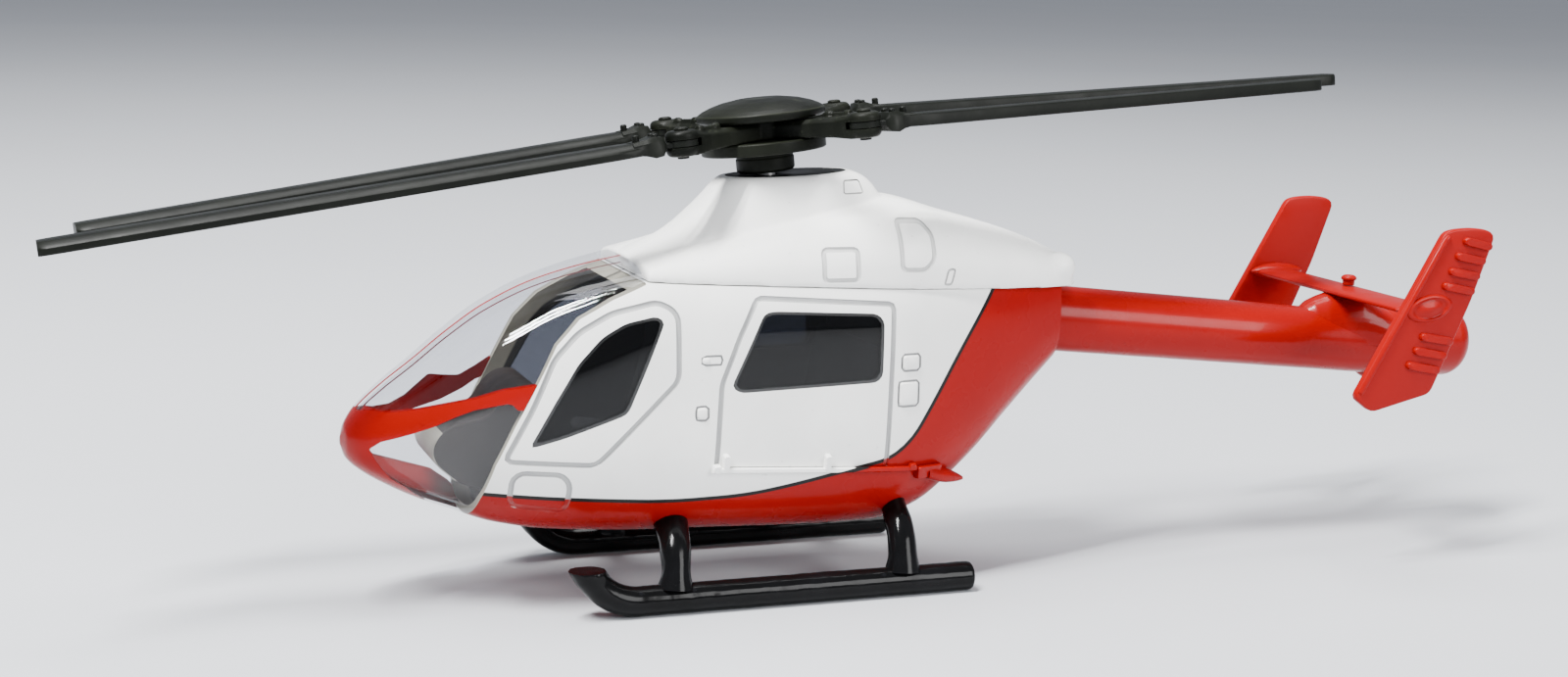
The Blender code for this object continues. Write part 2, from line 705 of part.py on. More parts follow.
def make_rotor():
    place = mast_place()
    plate = cylinder(8.2 - GAP, 0.0, 0.7, 28, stretched(1.36, 0.72) @ Matrix.Translation((0, 0, -0.7)))
    mast_plate = part(plate, "mast_plate", GREY_PLASTIC)
    boolean(mast_plate, "DIFFERENCE", cutter(cylinder(1.9, -6, 6, 16, place), "plate_bore"))
    sleeve = ((5.1, 4.2), (5.15, 1.2), (4.6, 0.6), (1.9, 0.6), (1.9, 4.2), (5.1, 4.2))
    turned(sleeve, "mast_sleeve", GREY_PLASTIC, 28, place)
    disc = ((10.6, 6.3), (11.0, 5.9), (11.0, 4.8), (10.6, 4.5), (1.9, 4.5), (1.9, 6.3), (10.6, 6.3))
    turned(disc, "swash_disc", GREY_PLASTIC, 32, place)
    pin = (
        (0.0, 9.5), (1.6, 9.5), (1.6, -8.4), (1.1, -8.4), (1.1, -9.6), (1.6, -9.6),
        (1.6, -10.8), (0.0, -10.8),
    )
    turned(pin, "rotor_pin", STEEL, 16, place)
    clip = ((3.4, -8.5), (3.4, -9.5), (1.4, -9.5), (1.4, -8.5), (3.4, -8.5))
    turned(clip, "pin_clip", STEEL, 20, place)
    dome = [
        (11.3 * math.sin(math.radians(a)), 10.6 + 2.9 * math.cos(math.radians(a)))
        for a in (18, 36, 54, 72)
    ]
    cap = [(0.0, 13.5), *dome, (11.3, 11.0), (11.3, 10.3), (10.9, 9.9), (0.0, 9.9)]
    turned(cap, "hub_cap", GREY_PLASTIC, 32, place)


def arm_place(angle):
    return mast_place() @ Matrix.Rotation(math.radians(angle + CROSS_YAW), 4, "Z")


def make_hub_cross():
    """The hub with its four arms. Each arm ends in a fork that holds a blade's pin."""
    place = mast_place()
    cross = part(cylinder(6.0, 6.6, 9.6, 24, place), "hub_cross", GREY_PLASTIC)
    for name, angle, _ in BLADES:
        here = arm_place(angle)
        arm = box((0.5, -2.1, 6.8), (HINGE_R - 5.0, 2.1, 9.4))
        block = box((HINGE_R - 6.0, -2.4, 6.1), (HINGE_R - 0.6, 2.4, 10.1))
        for bm in (arm, block):
            bmesh.ops.transform(bm, matrix=here, verts=bm.verts)
        hinge = here @ Matrix.Translation((HINGE_R, 0, 0))
        arm = cutter(arm, name + "_arm")
        block = cutter(block, name + "_fork_block")
        lug = cutter(cylinder(2.8, 6.0, 10.2, 18, hinge), name + "_fork_lug")
        boolean(cross, "UNION", arm, block, lug)
    for name, angle, _ in BLADES:
        hinge = arm_place(angle) @ Matrix.Translation((HINGE_R, 0, 0))
        slot = cutter(cylinder(3.3, 7.1, 9.2, 20, hinge), name + "_fork_slot")
        hole = cutter(cylinder(0.75 + GAP, 4, 12, 12, hinge), name + "_fork_hole")
        boolean(cross, "DIFFERENCE", slot, hole)
    bore = cutter(cylinder(1.6 + GAP, 6, 10.5, 16, place), "hub_bore")
    boolean(cross, "DIFFERENCE", bore)


def blade_place(angle, direction):
    """A blade's frame: origin on its hinge pin, X along the folded blade, drooping slightly."""
    swing = direction - angle - CROSS_YAW
    return (
        arm_place(angle)
        @ Matrix.Translation((HINGE_R, 0, 0))
        @ Matrix.Rotation(math.radians(swing), 4, "Z")
    )


def make_blades():
    for name, angle, direction in BLADES:
        place = blade_place(angle, direction)
        blade = part(cylinder(2.5, 7.4, 8.9, 18, place), "blade_" + name, GREY_PLASTIC)
        neck = box((0.5, -1.6, 7.5), (6.5, 1.6, 8.8))
        bmesh.ops.transform(neck, matrix=place, verts=neck.verts)
        half, low = BLADE_CHORD / 2, 8.15 - BLADE_T / 2
        fall = math.tan(math.radians(DROOP))
        rings = []
        for x, width in ((3.7, 0.5), (7.0, 0.72), (14.0, 1.0), (BLADE_LENGTH - 2, 1.0), (BLADE_LENGTH, 0.7)):
            z = low - fall * (x - 3.7)
            w = half * width
            rings.append([
                (x, -w, z), (x, w, z), (x, w, z + BLADE_T * 0.55),
                (x, w * 0.55, z + BLADE_T), (x, -w * 0.8, z + BLADE_T), (x, -w, z + BLADE_T * 0.75),
            ])
        vane = loft(rings)
        bmesh.ops.transform(vane, matrix=place, verts=vane.verts)
        hole = cutter(cylinder(0.75 + GAP, 5, 12, 12, place), name + "_root_hole")
        boolean(blade, "UNION", cutter(neck, name + "_neck"), cutter(vane, name + "_vane"))
        boolean(blade, "DIFFERENCE", hole)
        pin = (
            (0.0, 11.3), (0.9, 11.2), (1.3, 10.9), (1.3, 10.5), (0.75, 10.5), (0.75, 5.8), (0.0, 5.8),
        )
        turned(pin, "hinge_pin_" + name, GREY_PLASTIC, 12, place)


def make_screws():
    """The two screws that hold the belly pan, with their heads in the pan's recesses."""
    for name, x in (("front", 18.0), ("rear", 2.0)):
        keel = interpolate(HULL, x)[3]
        head, face = keel + 0.8, keel + 0.3
        profile = ((0.0, 15.2), (1.2, 15.2), (1.2, head), (2.2, head), (2.2, face), (0.0, face))
        place = Matrix.Translation((x, 0, 0))
        turned(profile, f"belly_screw_{name}", STEEL, 14, place)
        hole = cutter(cylinder(2.2 + GAP, keel - 3, 20, 16, place), name + "_screw_hole")
        boolean(bpy.data.objects["belly_pan"], "DIFFERENCE", hole)


def set_origins():
    """Each moving piece's parent empty stands on its joint's axis."""
    rotor = bpy.data.objects.new("rotor_axis", None)
    rotor.matrix_world = scaled(mast_place())
    PARTS.objects.link(rotor)
    bpy.context.view_layer.update()
    for name in ("mast_sleeve", "swash_disc", "rotor_pin", "pin_clip", "hub_cap", "hub_cross"):
        attach(bpy.data.objects[name], rotor)
    for name, angle, direction in BLADES:
        hinge = bpy.data.objects.new("hinge_axis_" + name, None)
        hinge.matrix_world = scaled(blade_place(angle, direction))
        PARTS.objects.link(hinge)
        bpy.context.view_layer.update()
        attach(bpy.data.objects["hinge_pin_" + name], rotor)
        attach(bpy.data.objects["blade_" + name], hinge)
        attach(hinge, rotor)


def attach(child, parent):
    kept = child.matrix_world.copy()
    child.parent = parent
    child.matrix_parent_inverse = parent.matrix_world.inverted()
    child.matrix_world = kept


clear_scene()
PARTS = make_collection("rescue_helicopter_model")
CUTTERS = make_collection("cutters")
BODY = make_body()
PAN = make_belly_pan()
make_canopy()
make_window(FRONT_WINDOW, "front_window")
make_window(REAR_WINDOW, "rear_window")
make_cowling()
make_cabin()
make_landing_gear(BODY, PAN)
make_door_rails()
make_tail_boom()
make_stabiliser()
make_rotor()
make_hub_cross()
make_blades()
make_screws()
set_origins()
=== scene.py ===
"""The looks of the rescue helicopter model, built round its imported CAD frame.

+X is the nose, +Y the port side and +Z up. Sizes are in millimetres, and put() turns them into metres.
"""

import json
import math

import bmesh
import bpy
import numpy as np
from mathutils import Matrix, Vector

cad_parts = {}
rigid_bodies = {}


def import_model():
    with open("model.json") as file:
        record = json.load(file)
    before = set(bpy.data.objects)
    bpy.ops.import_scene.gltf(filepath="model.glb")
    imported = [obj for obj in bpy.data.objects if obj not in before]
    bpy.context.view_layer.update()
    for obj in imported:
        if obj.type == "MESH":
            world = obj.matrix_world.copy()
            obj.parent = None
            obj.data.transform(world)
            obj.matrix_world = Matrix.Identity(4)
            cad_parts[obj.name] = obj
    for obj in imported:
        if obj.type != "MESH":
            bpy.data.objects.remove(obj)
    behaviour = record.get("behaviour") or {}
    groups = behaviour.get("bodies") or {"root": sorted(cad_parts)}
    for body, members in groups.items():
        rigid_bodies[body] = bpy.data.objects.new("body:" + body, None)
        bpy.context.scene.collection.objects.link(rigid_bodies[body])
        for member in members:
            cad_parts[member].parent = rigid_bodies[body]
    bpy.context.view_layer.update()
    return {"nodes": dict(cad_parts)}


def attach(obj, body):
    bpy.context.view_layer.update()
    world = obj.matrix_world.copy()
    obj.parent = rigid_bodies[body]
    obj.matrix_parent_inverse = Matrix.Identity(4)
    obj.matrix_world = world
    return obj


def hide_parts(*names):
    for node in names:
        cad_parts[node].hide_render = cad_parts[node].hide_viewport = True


WHITE = (0.9, 0.9, 0.87)
WHITE_SHADE = (0.79, 0.79, 0.765)
RED = (0.25, 0.0002, 0.0002)
RED_SHADE = (0.22, 0.0002, 0.0001)
# The grey of the grooves is painted shade and dirt, in two tones mixed by noise.
GREY = (0.36, 0.365, 0.36)
GREY_SHADE = (0.31, 0.31, 0.31)
INK = (0.008, 0.008, 0.008)
KHAKI = (0.34, 0.32, 0.25)
DUST = 0.6  # how dark a dust nib is, as a share of the paint's colour
ROUGH = (0.22, 0.34)  # the paint's least and greatest roughness
GLOSS = 0.1
COAT = 0.08
EDGE_SHEEN = 0.35  # the share of clear plastic that mirrors at a grazing angle

MM = 0.001
REACH = 30  # half the width of a cutter that goes through the whole body
WALL = 1.5  # thickness of the castings
GLASS = 1.2  # thickness of the clear canopy
SEAM = 0.12  # width of the joint lines between pieces
PAN_SEAM = 0.02  # the belly pan's joint is nearly closed

# Body cross-sections: station X, half width, crown Z, keel Z, Z of the widest line,
# upper and lower corner exponent (2 is an ellipse, 4 is nearly square).
HULL = (
    (89.0, 0.6, 28.9, 27.6, 28.2, 2.0, 2.0),
    (88.2, 3.4, 31.2, 25.4, 28.3, 2.1, 2.1),
    (86.0, 6.4, 34.2, 23.3, 28.5, 2.2, 2.2),
    (82.0, 9.2, 37.8, 20.8, 29.0, 2.3, 2.2),
    (77.0, 11.4, 41.6, 18.3, 29.6, 2.4, 2.3),
    (71.0, 13.7, 46.4, 16.0, 30.4, 2.5, 2.4),
    (64.5, 15.7, 50.8, 13.6, 31.2, 2.7, 2.5),
    (56.0, 17.5, 54.7, 12.0, 32.0, 3.1, 2.6),
    (47.5, 18.5, 57.1, 11.3, 32.6, 3.7, 2.7),
    (40.0, 18.9, 58.6, 10.9, 33.0, 4.3, 2.8),
    (30.0, 19.0, 60.5, 10.6, 33.0, 4.3, 2.8),
    (10.0, 18.9, 61.0, 9.9, 33.0, 4.3, 2.8),
    (-4.0, 18.5, 61.0, 9.7, 33.5, 4.2, 2.7),
    (-12.0, 17.4, 60.5, 11.4, 35.0, 4.0, 2.5),
    (-22.0, 15.0, 60.0, 18.4, 38.0, 3.6, 2.4),
    (-31.0, 12.1, 59.5, 27.3, 41.5, 3.2, 2.3),
    (-37.0, 9.9, 59.0, 33.2, 43.8, 3.0, 2.2),
    (-40.6, 8.6, 58.8, 36.8, 45.0, 3.0, 2.2),
)
NOSE_X = HULL[0][0]
REAR_X = HULL[-1][0]
DECK_Z = 54.0
DECK_SLOPE = 0.047
WINDSCREEN_X = 40.5
PILLAR = (
    (WINDSCREEN_X, 55.6),
    (46.3, 53.2),
    (51.9, 50.2),
    (55.9, 46.0),
    (59.2, 39.6),
    (62.8, 32.6),
    (65.8, 26.0),
    (67.8, 19.6),
    (69.0, 14.0),
)

# Upper cowling: station X, overhang past the body's side, crown Z, corner exponent.
COWL = (
    (WINDSCREEN_X - 0.3, 0.0, 58.6, 3.4),
    (34.0, 0.0, 60.6, 2.7),
    (24.0, 0.1, 63.6, 2.5),
    (12.0, 0.2, 66.4, 2.5),
    (0.0, 0.3, 68.2, 2.6),
    (-7.0, 0.4, 68.4, 2.6),
    (-18.6, 0.9, 65.6, 2.6),
    (-31.3, 1.8, 62.0, 2.5),
    (-38.0, 2.0, 59.5, 2.4),
    (-41.6, 1.4, 57.6, 2.3),
    (-44.0, -1.4, 55.0, 2.2),
)
EXHAUST = (-39.7, 7.8, 55.4)
EXHAUST_R = 3.0

# Mast pylon: level Z, front X, rear X, half width, from the top down.
PYLON = (
    (72.5, 22.4, -1.2, 6.6),
    (71.6, 23.6, -3.4, 7.6),
    (69.5, 25.4, -5.8, 8.4),
    (66.0, 28.6, -8.0, 9.6),
    (62.0, 33.5, -9.5, 11.6),
    (58.5, 41.0, -11.0, 14.0),
)
PYLON_TILT = 2.5
PYLON_CORNER = 2.5  # the exponent of its plan
RECESS_OVAL = (1.36, 0.72, 1, 1)

FRONT_WINDOW = (
    (60.6, 28.9), (56.4, 36.6), (52.6, 43.0), (48.6, 47.3), (44.6, 49.6),
    (39.4, 50.7), (38.0, 49.8), (41.0, 42.4), (44.3, 34.4), (54.8, 30.6),
)
REAR_WINDOW = (
    (20.5, 50.6), (18.6, 50.9), (-0.2, 49.9), (-1.6, 48.6), (-1.5, 39.0), (-0.4, 37.9),
    (24.7, 37.2), (26.3, 38.3),
)
BELLY = ((64.0, 15.2), (-10.0, 12.9), (-12.6, 11.6))
BELLY_SCREWS = (("front", 18.0), ("rear", 2.0))

# Lines cut into the body: the front door, the rear door and the hatch under the front door.
FRONT_DOOR = (
    (64.5, 26.7), (60.1, 35.3), (56.4, 43.8), (52.3, 48.1), (46.7, 51.2), (39.1, 53.0),
    (36.6, 51.7), (35.7, 50.3), (35.6, 39.8), (49.5, 25.8),
)
REAR_DOOR = ((21.7, 53.2), (-3.4, 51.4), (-2.9, 22.3), (28.6, 24.1), (28.0, 38.8), (24.9, 46.8))
HATCH = ((63.3, 18.6), (63.1, 23.6), (61.7, 24.7), (55.0, 24.3), (53.6, 22.5), (53.8, 17.4))
# Middle X and Z, width and height of the rims round the handle, the lock and the two covers.
FITTING_RIMS = (
    (29.8, 43.0, 3.6, 1.5), (31.4, 34.0, 2.2, 2.4), (-6.9, 41.1, 3.6, 2.9), (-6.6, 35.6, 4.0, 4.5),
)
# Lines cut into the cowling.
COWL_SQUARE = ((9.4, 60.9), (3.2, 60.9), (3.2, 55.7), (9.4, 55.7))
COWL_PANEL = ((-5.1, 65.4), (-9.8, 65.2), (-11.5, 63.0), (-11.5, 58.8), (-9.6, 57.0), (-5.1, 57.2))
COWL_SLOT = ((-13.5, 54.3), (-14.9, 54.3), (-15.7, 56.9), (-14.3, 56.9))
PYLON_DOOR = ((2.3, 71.7), (-0.9, 71.7), (-1.5, 69.5), (2.6, 69.5))

RAIL_FRONT_X = 29.4
RAIL_REAR_X = -9.1
RAIL_Z = 22.5
RAIL_SLOPE = 0.055

# Where the red starts on the body's side: below and behind this line, from the nose backwards.
SPLIT = (
    (80.0, 21.4), (70.4, 21.0), (52.0, 19.6), (36.0, 18.5), (22.4, 18.9), (13.4, 20.5),
    (5.6, 22.2), (-3.7, 24.0), (-8.0, 27.4), (-12.2, 34.2), (-17.2, 42.6), (-22.2, 49.8), (-28.2, 58.0),
)
PINSTRIPE = 0.36  # half its width

# Red areas of the canopy, as side outlines: the two side bands, the keel and the nose cap.
BAND_PORT = (
    (92.0, 33.6), (86.5, 33.6), (85.1, 34.2), (82.4, 34.3), (77.7, 35.1), (72.5, 36.4), (69.1, 37.2),
    (64.7, 38.7), (59.5, 39.6), (54.0, 40.6), (54.0, 35.3), (62.4, 35.4), (63.1, 36.3), (63.9, 36.5),
    (65.9, 36.1), (69.1, 35.4), (72.2, 34.1), (75.5, 32.4), (78.8, 31.1), (83.6, 29.5), (85.3, 28.1),
    (92.0, 28.0),
)
BAND_STARBOARD = (
    (92.0, 33.6), (86.0, 33.0), (82.0, 32.0), (79.0, 32.0), (76.0, 33.2), (71.5, 36.5), (68.4, 35.9),
    (65.7, 35.6), (62.5, 37.1), (59.5, 38.8), (54.0, 40.2), (54.0, 34.0), (60.3, 35.4), (62.5, 34.9),
    (65.3, 33.3), (69.3, 31.8), (73.2, 31.0), (76.4, 30.4), (80.0, 29.6), (85.3, 28.1), (92.0, 28.0),
)
KEEL_PORT = (
    (92.0, 28.1), (85.3, 28.1), (84.5, 26.6), (83.5, 25.1), (81.7, 22.9), (79.1, 21.1), (75.8, 18.3),
    (72.8, 15.5), (72.0, 10.0), (92.0, 10.0),
)
KEEL_STARBOARD = (
    (92.0, 28.1), (85.3, 28.1), (82.3, 24.0), (76.9, 22.0), (71.8, 20.2), (68.7, 18.0), (67.2, 16.0),
    (66.0, 10.0), (92.0, 10.0),
)
SPINE = 0.45  # half the width of the line that runs up the middle from the nose
SPINE_LOW_Z = 33.0
NOSE_CAP = ((86.2, 10.0), (86.2, 33.7), (92.0, 33.7), (92.0, 10.0))

CABIN_FLOOR = 19.3
SEAT = (
    (30.0, CABIN_FLOOR), (45.0, CABIN_FLOOR), (46.5, 28.0), (36.5, 26.5), (32.6, 41.0), (32.2, 46.0),
    (28.8, 46.0), (28.0, 40.0),
)
BENCH = ((-4.1, CABIN_FLOOR), (11.0, CABIN_FLOOR), (11.5, 27.5), (2.0, 26.5), (-1.5, 43.0), (-4.1, 43.0))
CONSOLE = (
    (52.0, CABIN_FLOOR), (64.0, CABIN_FLOOR), (70.5, 21.5), (74.5, 25.0), (75.2, 27.6), (73.6, 30.6),
    (70.0, 32.0), (65.4, 32.6), (63.4, 36.0), (61.0, 38.0), (57.4, 38.2), (55.5, 35.0),
)

SIDES = (("port", 1), ("starboard", -1))
TRACK = 40.0
SKID_R = 2.6
SKID_Z = 2.4
SKID_REAR_X = -19.2
SKID_FRONT_X = 42.4
UPTURN_R = 9.5
UPTURN = 62.0
TIP_Z = 8.4
LEG_R = 2.45
# Each leg's name, top X, foot X and top Z, and its thickness from the top down.
LEGS = (
    ("front", 34.6, 35.9, 13.8, (1.25, 1.22, 1.12, 1.0, 1.3)),
    ("rear", -6.9, -5.9, 14.6, (0.86, 0.9, 1.02, 1.05, 1.3)),
)
LEG_TOP_Y = 12.3

BOOM_START = Vector((-40.9, 0.0, 45.0))
BOOM_SLOPE = 0.103
BOOM_R = 6.0
BOOM_LENGTH = 71.4
DRUM_R = 7.2
DRUM_LENGTH = 22.6
STAB_FRONT_X = -102.4
STAB_CHORD = 8.8
STAB_Z = 48.2
STAB_T = 2.1
TAIL_LIGHT_X = -107.9
FIN_Y = 26.3
FIN_T = 1.6
FIN = (
    (-109.5, 63.0), (-111.5, 63.5), (-115.0, 63.7), (-118.4, 63.4), (-120.0, 62.7), (-120.4, 61.6),
    (-116.4, 50.1), (-108.8, 32.7), (-96.2, 29.7), (-92.2, 32.6),
)

RIBS = (
    ((-114.2, 61.3), (-119.0, 60.2)), ((-112.7, 58.5), (-117.8, 57.5)), ((-111.5, 55.7), (-116.8, 54.7)),
    ((-110.3, 53.0), (-115.9, 51.9)), ((-106.2, 43.6), (-112.0, 42.6)), ((-105.0, 41.0), (-110.8, 39.9)),
    ((-103.7, 38.3), (-109.5, 37.2)),
)
BOSS = (-107.1, 48.9)
BOSS_STEPS = ((4.9, -0.3), (4.9, 0.1), (4.5, 0.4), (3.9, 0.45), (3.6, 0.2), (2.9, 0.15), (1.2, 0.9))
FIN_LEADING_EDGE = ((-110.4, 62.2), (-109.6, 61.6), (-93.4, 33.3))

BORE_R = 1.9  # the hole for the rotor pin
PIN_HOLE_R = 0.9
MAST_X = 14.2
MAST_Z = 72.2
MAST_TILT = 6.2
MAST_LEAN = 2.8
CROSS_YAW = -12.0
HINGE_R = 22.0
BLADE_LENGTH = 104.0
BLADE_CHORD = 7.0
BLADE_T = 2.2
DROOP = 2.5
# The blade's half widths along it, as shares of the full one, from its root to its tip.
BLADE_PLAN = (
    (3.7, 0.46), (4.6, 0.5), (6.4, 0.62), (9.0, 0.84), (12.0, 0.97), (15.0, 1.0), (40.0, 1.0), (70.0, 1.0),
    (BLADE_LENGTH - 3.0, 1.0), (BLADE_LENGTH - 1.4, 0.97), (BLADE_LENGTH - 0.5, 0.9), (BLADE_LENGTH, 0.78),
)
# The blade's neck: distance from the hinge, half width and half height.
NECK = (
    (0.5, 1.6, 0.45), (3.2, 1.7, 0.45), (3.9, 2.3, 1.6), (5.4, 2.5, 1.8), (6.6, 2.3, 1.4), (9.0, 2.6, 1.0),
)
NECK_SECTION = ((-1, -1), (1, -1), (1, 0.5), (0.75, 1), (-0.75, 1), (-1, 0.5))
# Turned shapes of the rotor head, as (radius, height) from below.
BOLT = ((0.0, 7.0), (0.6, 7.0), (0.6, 10.1), (0.45, 10.3), (0.0, 10.35))
LUG = ((0.0, 5.9), (2.3, 5.9), (2.85, 6.6), (2.85, 9.7), (2.3, 10.3), (0.0, 10.3))
FOLD_PIN = (
    (0.0, 5.5), (1.0, 5.5), (1.0, 5.85), (0.75, 5.85), (0.75, 10.3), (1.2, 10.3), (1.2, 10.6), (0.9, 10.8),
    (0.0, 10.85),
)
DAMPER = (
    (0.0, 0.0), (0.8, 0.0), (0.8, 1.2), (0.5, 1.4), (0.5, 4.0), (0.8, 4.2), (0.8, 5.4), (0.0, 5.4),
)
BLADES = (
    ("front_port", 45.0, -0.5),
    ("front_starboard", -45.0, 3.1),
    ("rear_port", 135.0, 192.0),
    ("rear_starboard", 225.0, 179.4),
)

# The camera: its lens in mm, its place in metres and its angles in degrees.
LENS = 50.95
SHIFT_Y = 0.0065
CAMERA_AT = (0.1464, 0.3658, 0.11205)
YAW, PITCH, ROLL = 20.45, 10.33, 1.55


# ---------------------------------------------------------------- materials


class Shader:
    """A procedural material, built up node by node."""

    def __init__(self, name):
        self.material = bpy.data.materials.new(name)
        self.material.use_nodes = True
        self.tree = self.material.node_tree
        self.tree.nodes.clear()
        self.out = self.node("OutputMaterial")
        self.place = self.node("TexCoord").outputs["Object"]

    def node(self, kind, **settings):
        made = self.tree.nodes.new("ShaderNode" + kind)
        for key, value in settings.items():
            setattr(made, key, value)
        return made

    def link(self, source, target):
        self.tree.links.new(source, target)

    def noise(self, scale, detail=3.0, stretch=None):
        node = self.node("TexNoise")
        node.inputs["Scale"].default_value = scale
        node.inputs["Detail"].default_value = detail
        source = self.place
        if stretch:
            mapping = self.node("Mapping")
            mapping.inputs["Scale"].default_value = stretch
            self.link(source, mapping.inputs["Vector"])
            source = mapping.outputs["Vector"]
        self.link(source, node.inputs["Vector"])
        return node.outputs["Fac"]

    def spread(self, source, low, high, to_low, to_high):
        """The source's range low to high, mapped onto another range."""
        node = self.node("MapRange")
        self.link(source, node.inputs["Value"])
        node.inputs["From Min"].default_value = low
        node.inputs["From Max"].default_value = high
        node.inputs["To Min"].default_value = to_low
        node.inputs["To Max"].default_value = to_high
        return node.outputs["Result"]

    def blend(self, share, first, second):
        """A mix of two colours, each a socket or a plain colour."""
        node = self.node("Mix", data_type="RGBA")
        self.link(share, node.inputs["Factor"])
        for value, socket in ((first, node.inputs[6]), (second, node.inputs[7])):
            if isinstance(value, tuple):
                socket.default_value = (*value, 1.0)
            else:
                self.link(value, socket)
        return node.outputs[2]

    def attribute(self, name):
        return self.node("Attribute", attribute_name=name).outputs["Fac"]

    def surface(self, colour, roughness, metallic=0.0, coat=0.0, bump=None, strength=0.1, specular=0.5):
        """A Principled shader. colour and roughness are sockets or plain values."""
        node = self.node("BsdfPrincipled")
        if isinstance(colour, tuple):
            node.inputs["Base Color"].default_value = (*colour, 1.0)
        else:
            self.link(colour, node.inputs["Base Color"])
        if isinstance(roughness, float):
            node.inputs["Roughness"].default_value = roughness
        else:
            self.link(roughness, node.inputs["Roughness"])
        node.inputs["Metallic"].default_value = metallic
        node.inputs["Coat Weight"].default_value = coat
        node.inputs["Coat Roughness"].default_value = 0.04
        node.inputs["Specular IOR Level"].default_value = specular
        if bump:
            relief = self.node("Bump")
            relief.inputs["Strength"].default_value = strength
            relief.inputs["Distance"].default_value = 0.0002
            self.link(bump, relief.inputs["Height"])
            self.link(relief.outputs["Normal"], node.inputs["Normal"])
        return node.outputs["BSDF"]

    def mixed(self, share, first, second):
        node = self.node("MixShader")
        self.link(share, node.inputs["Fac"])
        self.link(first, node.inputs[1])
        self.link(second, node.inputs[2])
        return node.outputs["Shader"]

    def finish(self, shader):
        self.link(shader, self.out.inputs["Surface"])
        return self.material


def sprayed(shader, colour, shade):
    """A sprayed colour with faint cloudiness and a few dust nibs."""
    cloudy = shader.blend(shader.spread(shader.noise(45.0), 0.35, 0.7, 0.0, 1.0), colour, shade)
    nibs = shader.spread(shader.noise(900.0, 1.0), 0.74, 0.8, 0.0, 0.35)
    return shader.blend(nibs, cloudy, tuple(value * DUST for value in colour))


def painted_surface(shader, colour):
    """The colour as glossy paint with a fine orange-peel texture. It ends the material."""
    rough = shader.spread(shader.noise(160.0), 0.3, 0.7, *ROUGH)
    peel = shader.noise(620.0, 2.0)
    return shader.finish(shader.surface(colour, rough, coat=COAT, bump=peel, strength=0.06, specular=GLOSS))


def paint(name, colour, shade):
    shader = Shader(name)
    return painted_surface(shader, sprayed(shader, colour, shade))


def make_body_paint():
    """White over red, with a black pinstripe on the split, from the mesh's own distance to it."""
    shader = Shader("body_paint")
    split = shader.attribute("red")
    white = sprayed(shader, WHITE, WHITE_SHADE)
    red = sprayed(shader, RED, RED_SHADE)
    colour = shader.blend(shader.spread(split, -0.04, 0.04, 0.0, 1.0), white, red)
    size = shader.node("Math", operation="ABSOLUTE")
    shader.link(split, size.inputs[0])
    stripe = shader.spread(size.outputs[0], PINSTRIPE - 0.05, PINSTRIPE + 0.05, 1.0, 0.0)
    colour = shader.blend(stripe, colour, INK)
    return painted_surface(shader, colour)


def make_liner():
    """The inner walls: khaki beside the joint with the canopy, and near black further in as painted shade."""
    shader = Shader("liner")
    rim = shader.spread(shader.attribute("joint"), -3.1, -2.7, 0.0, 1.0)
    # Painted shade: the walls deeper inside than the strip by the joint are near black.
    colour = shader.blend(rim, (0.03, 0.026, 0.02), KHAKI)
    tone = shader.blend(shader.spread(shader.noise(110.0), 0.3, 0.8, 0.0, 0.2), colour, (0.0, 0.0, 0.0))
    return shader.finish(shader.surface(tone, 0.55, bump=shader.noise(900.0), strength=0.03, specular=0.1))


def make_groove_shade_and_dirt():
    """The grooves' grey, which is painted shade and dirt in the grooves and turns red below the split."""
    shader = Shader("groove_shade_and_dirt")
    below = shader.spread(shader.attribute("red"), -0.04, 0.04, 0.0, 1.0)
    grey = shader.blend(shader.spread(shader.noise(200.0), 0.35, 0.7, 0.0, 1.0), GREY, GREY_SHADE)
    colour = shader.blend(below, grey, RED_SHADE)
    return shader.finish(shader.surface(colour, 0.35, coat=0.3, specular=0.35))


def see_through(shader, tint, sheen):
    """Thin clear plastic: what is behind it, tinted, under a reflection that grows at grazing angles."""
    clear = shader.node("BsdfTransparent")
    clear.inputs["Color"].default_value = (*tint, 1.0)
    gloss = shader.node("BsdfGlossy")
    gloss.inputs["Roughness"].default_value = 0.035
    gloss.inputs["Color"].default_value = (1.0, 1.0, 1.0, 1.0)
    facing = shader.node("LayerWeight")
    facing.inputs["Blend"].default_value = 0.5
    edge = shader.node("Math", operation="POWER")
    shader.link(facing.outputs["Facing"], edge.inputs[0])
    edge.inputs[1].default_value = 5.0
    share = shader.spread(edge.outputs[0], 0.0, 1.0, sheen, EDGE_SHEEN)
    return shader.mixed(share, clear.outputs["BSDF"], gloss.outputs["BSDF"])


def make_canopy_plastic():
    shader = Shader("canopy_plastic")
    clear = see_through(shader, (0.92, 0.925, 0.94), 0.03)
    red = shader.surface(sprayed(shader, RED, RED_SHADE), 0.25, coat=COAT, specular=GLOSS)
    painted = shader.spread(shader.attribute("red"), -0.05, 0.05, 0.0, 1.0)
    return shader.finish(shader.mixed(painted, clear, red))


def make_window_plastic():
    """Dark tinted plastic with a black painted rim."""
    shader = Shader("window_plastic")
    clear = see_through(shader, (0.26, 0.27, 0.3), 0.02)
    black = shader.surface(INK, 0.25, coat=0.3)
    rim = shader.spread(shader.attribute("rim"), 0.45, 0.55, 1.0, 0.0)
    return shader.finish(shader.mixed(rim, clear, black))


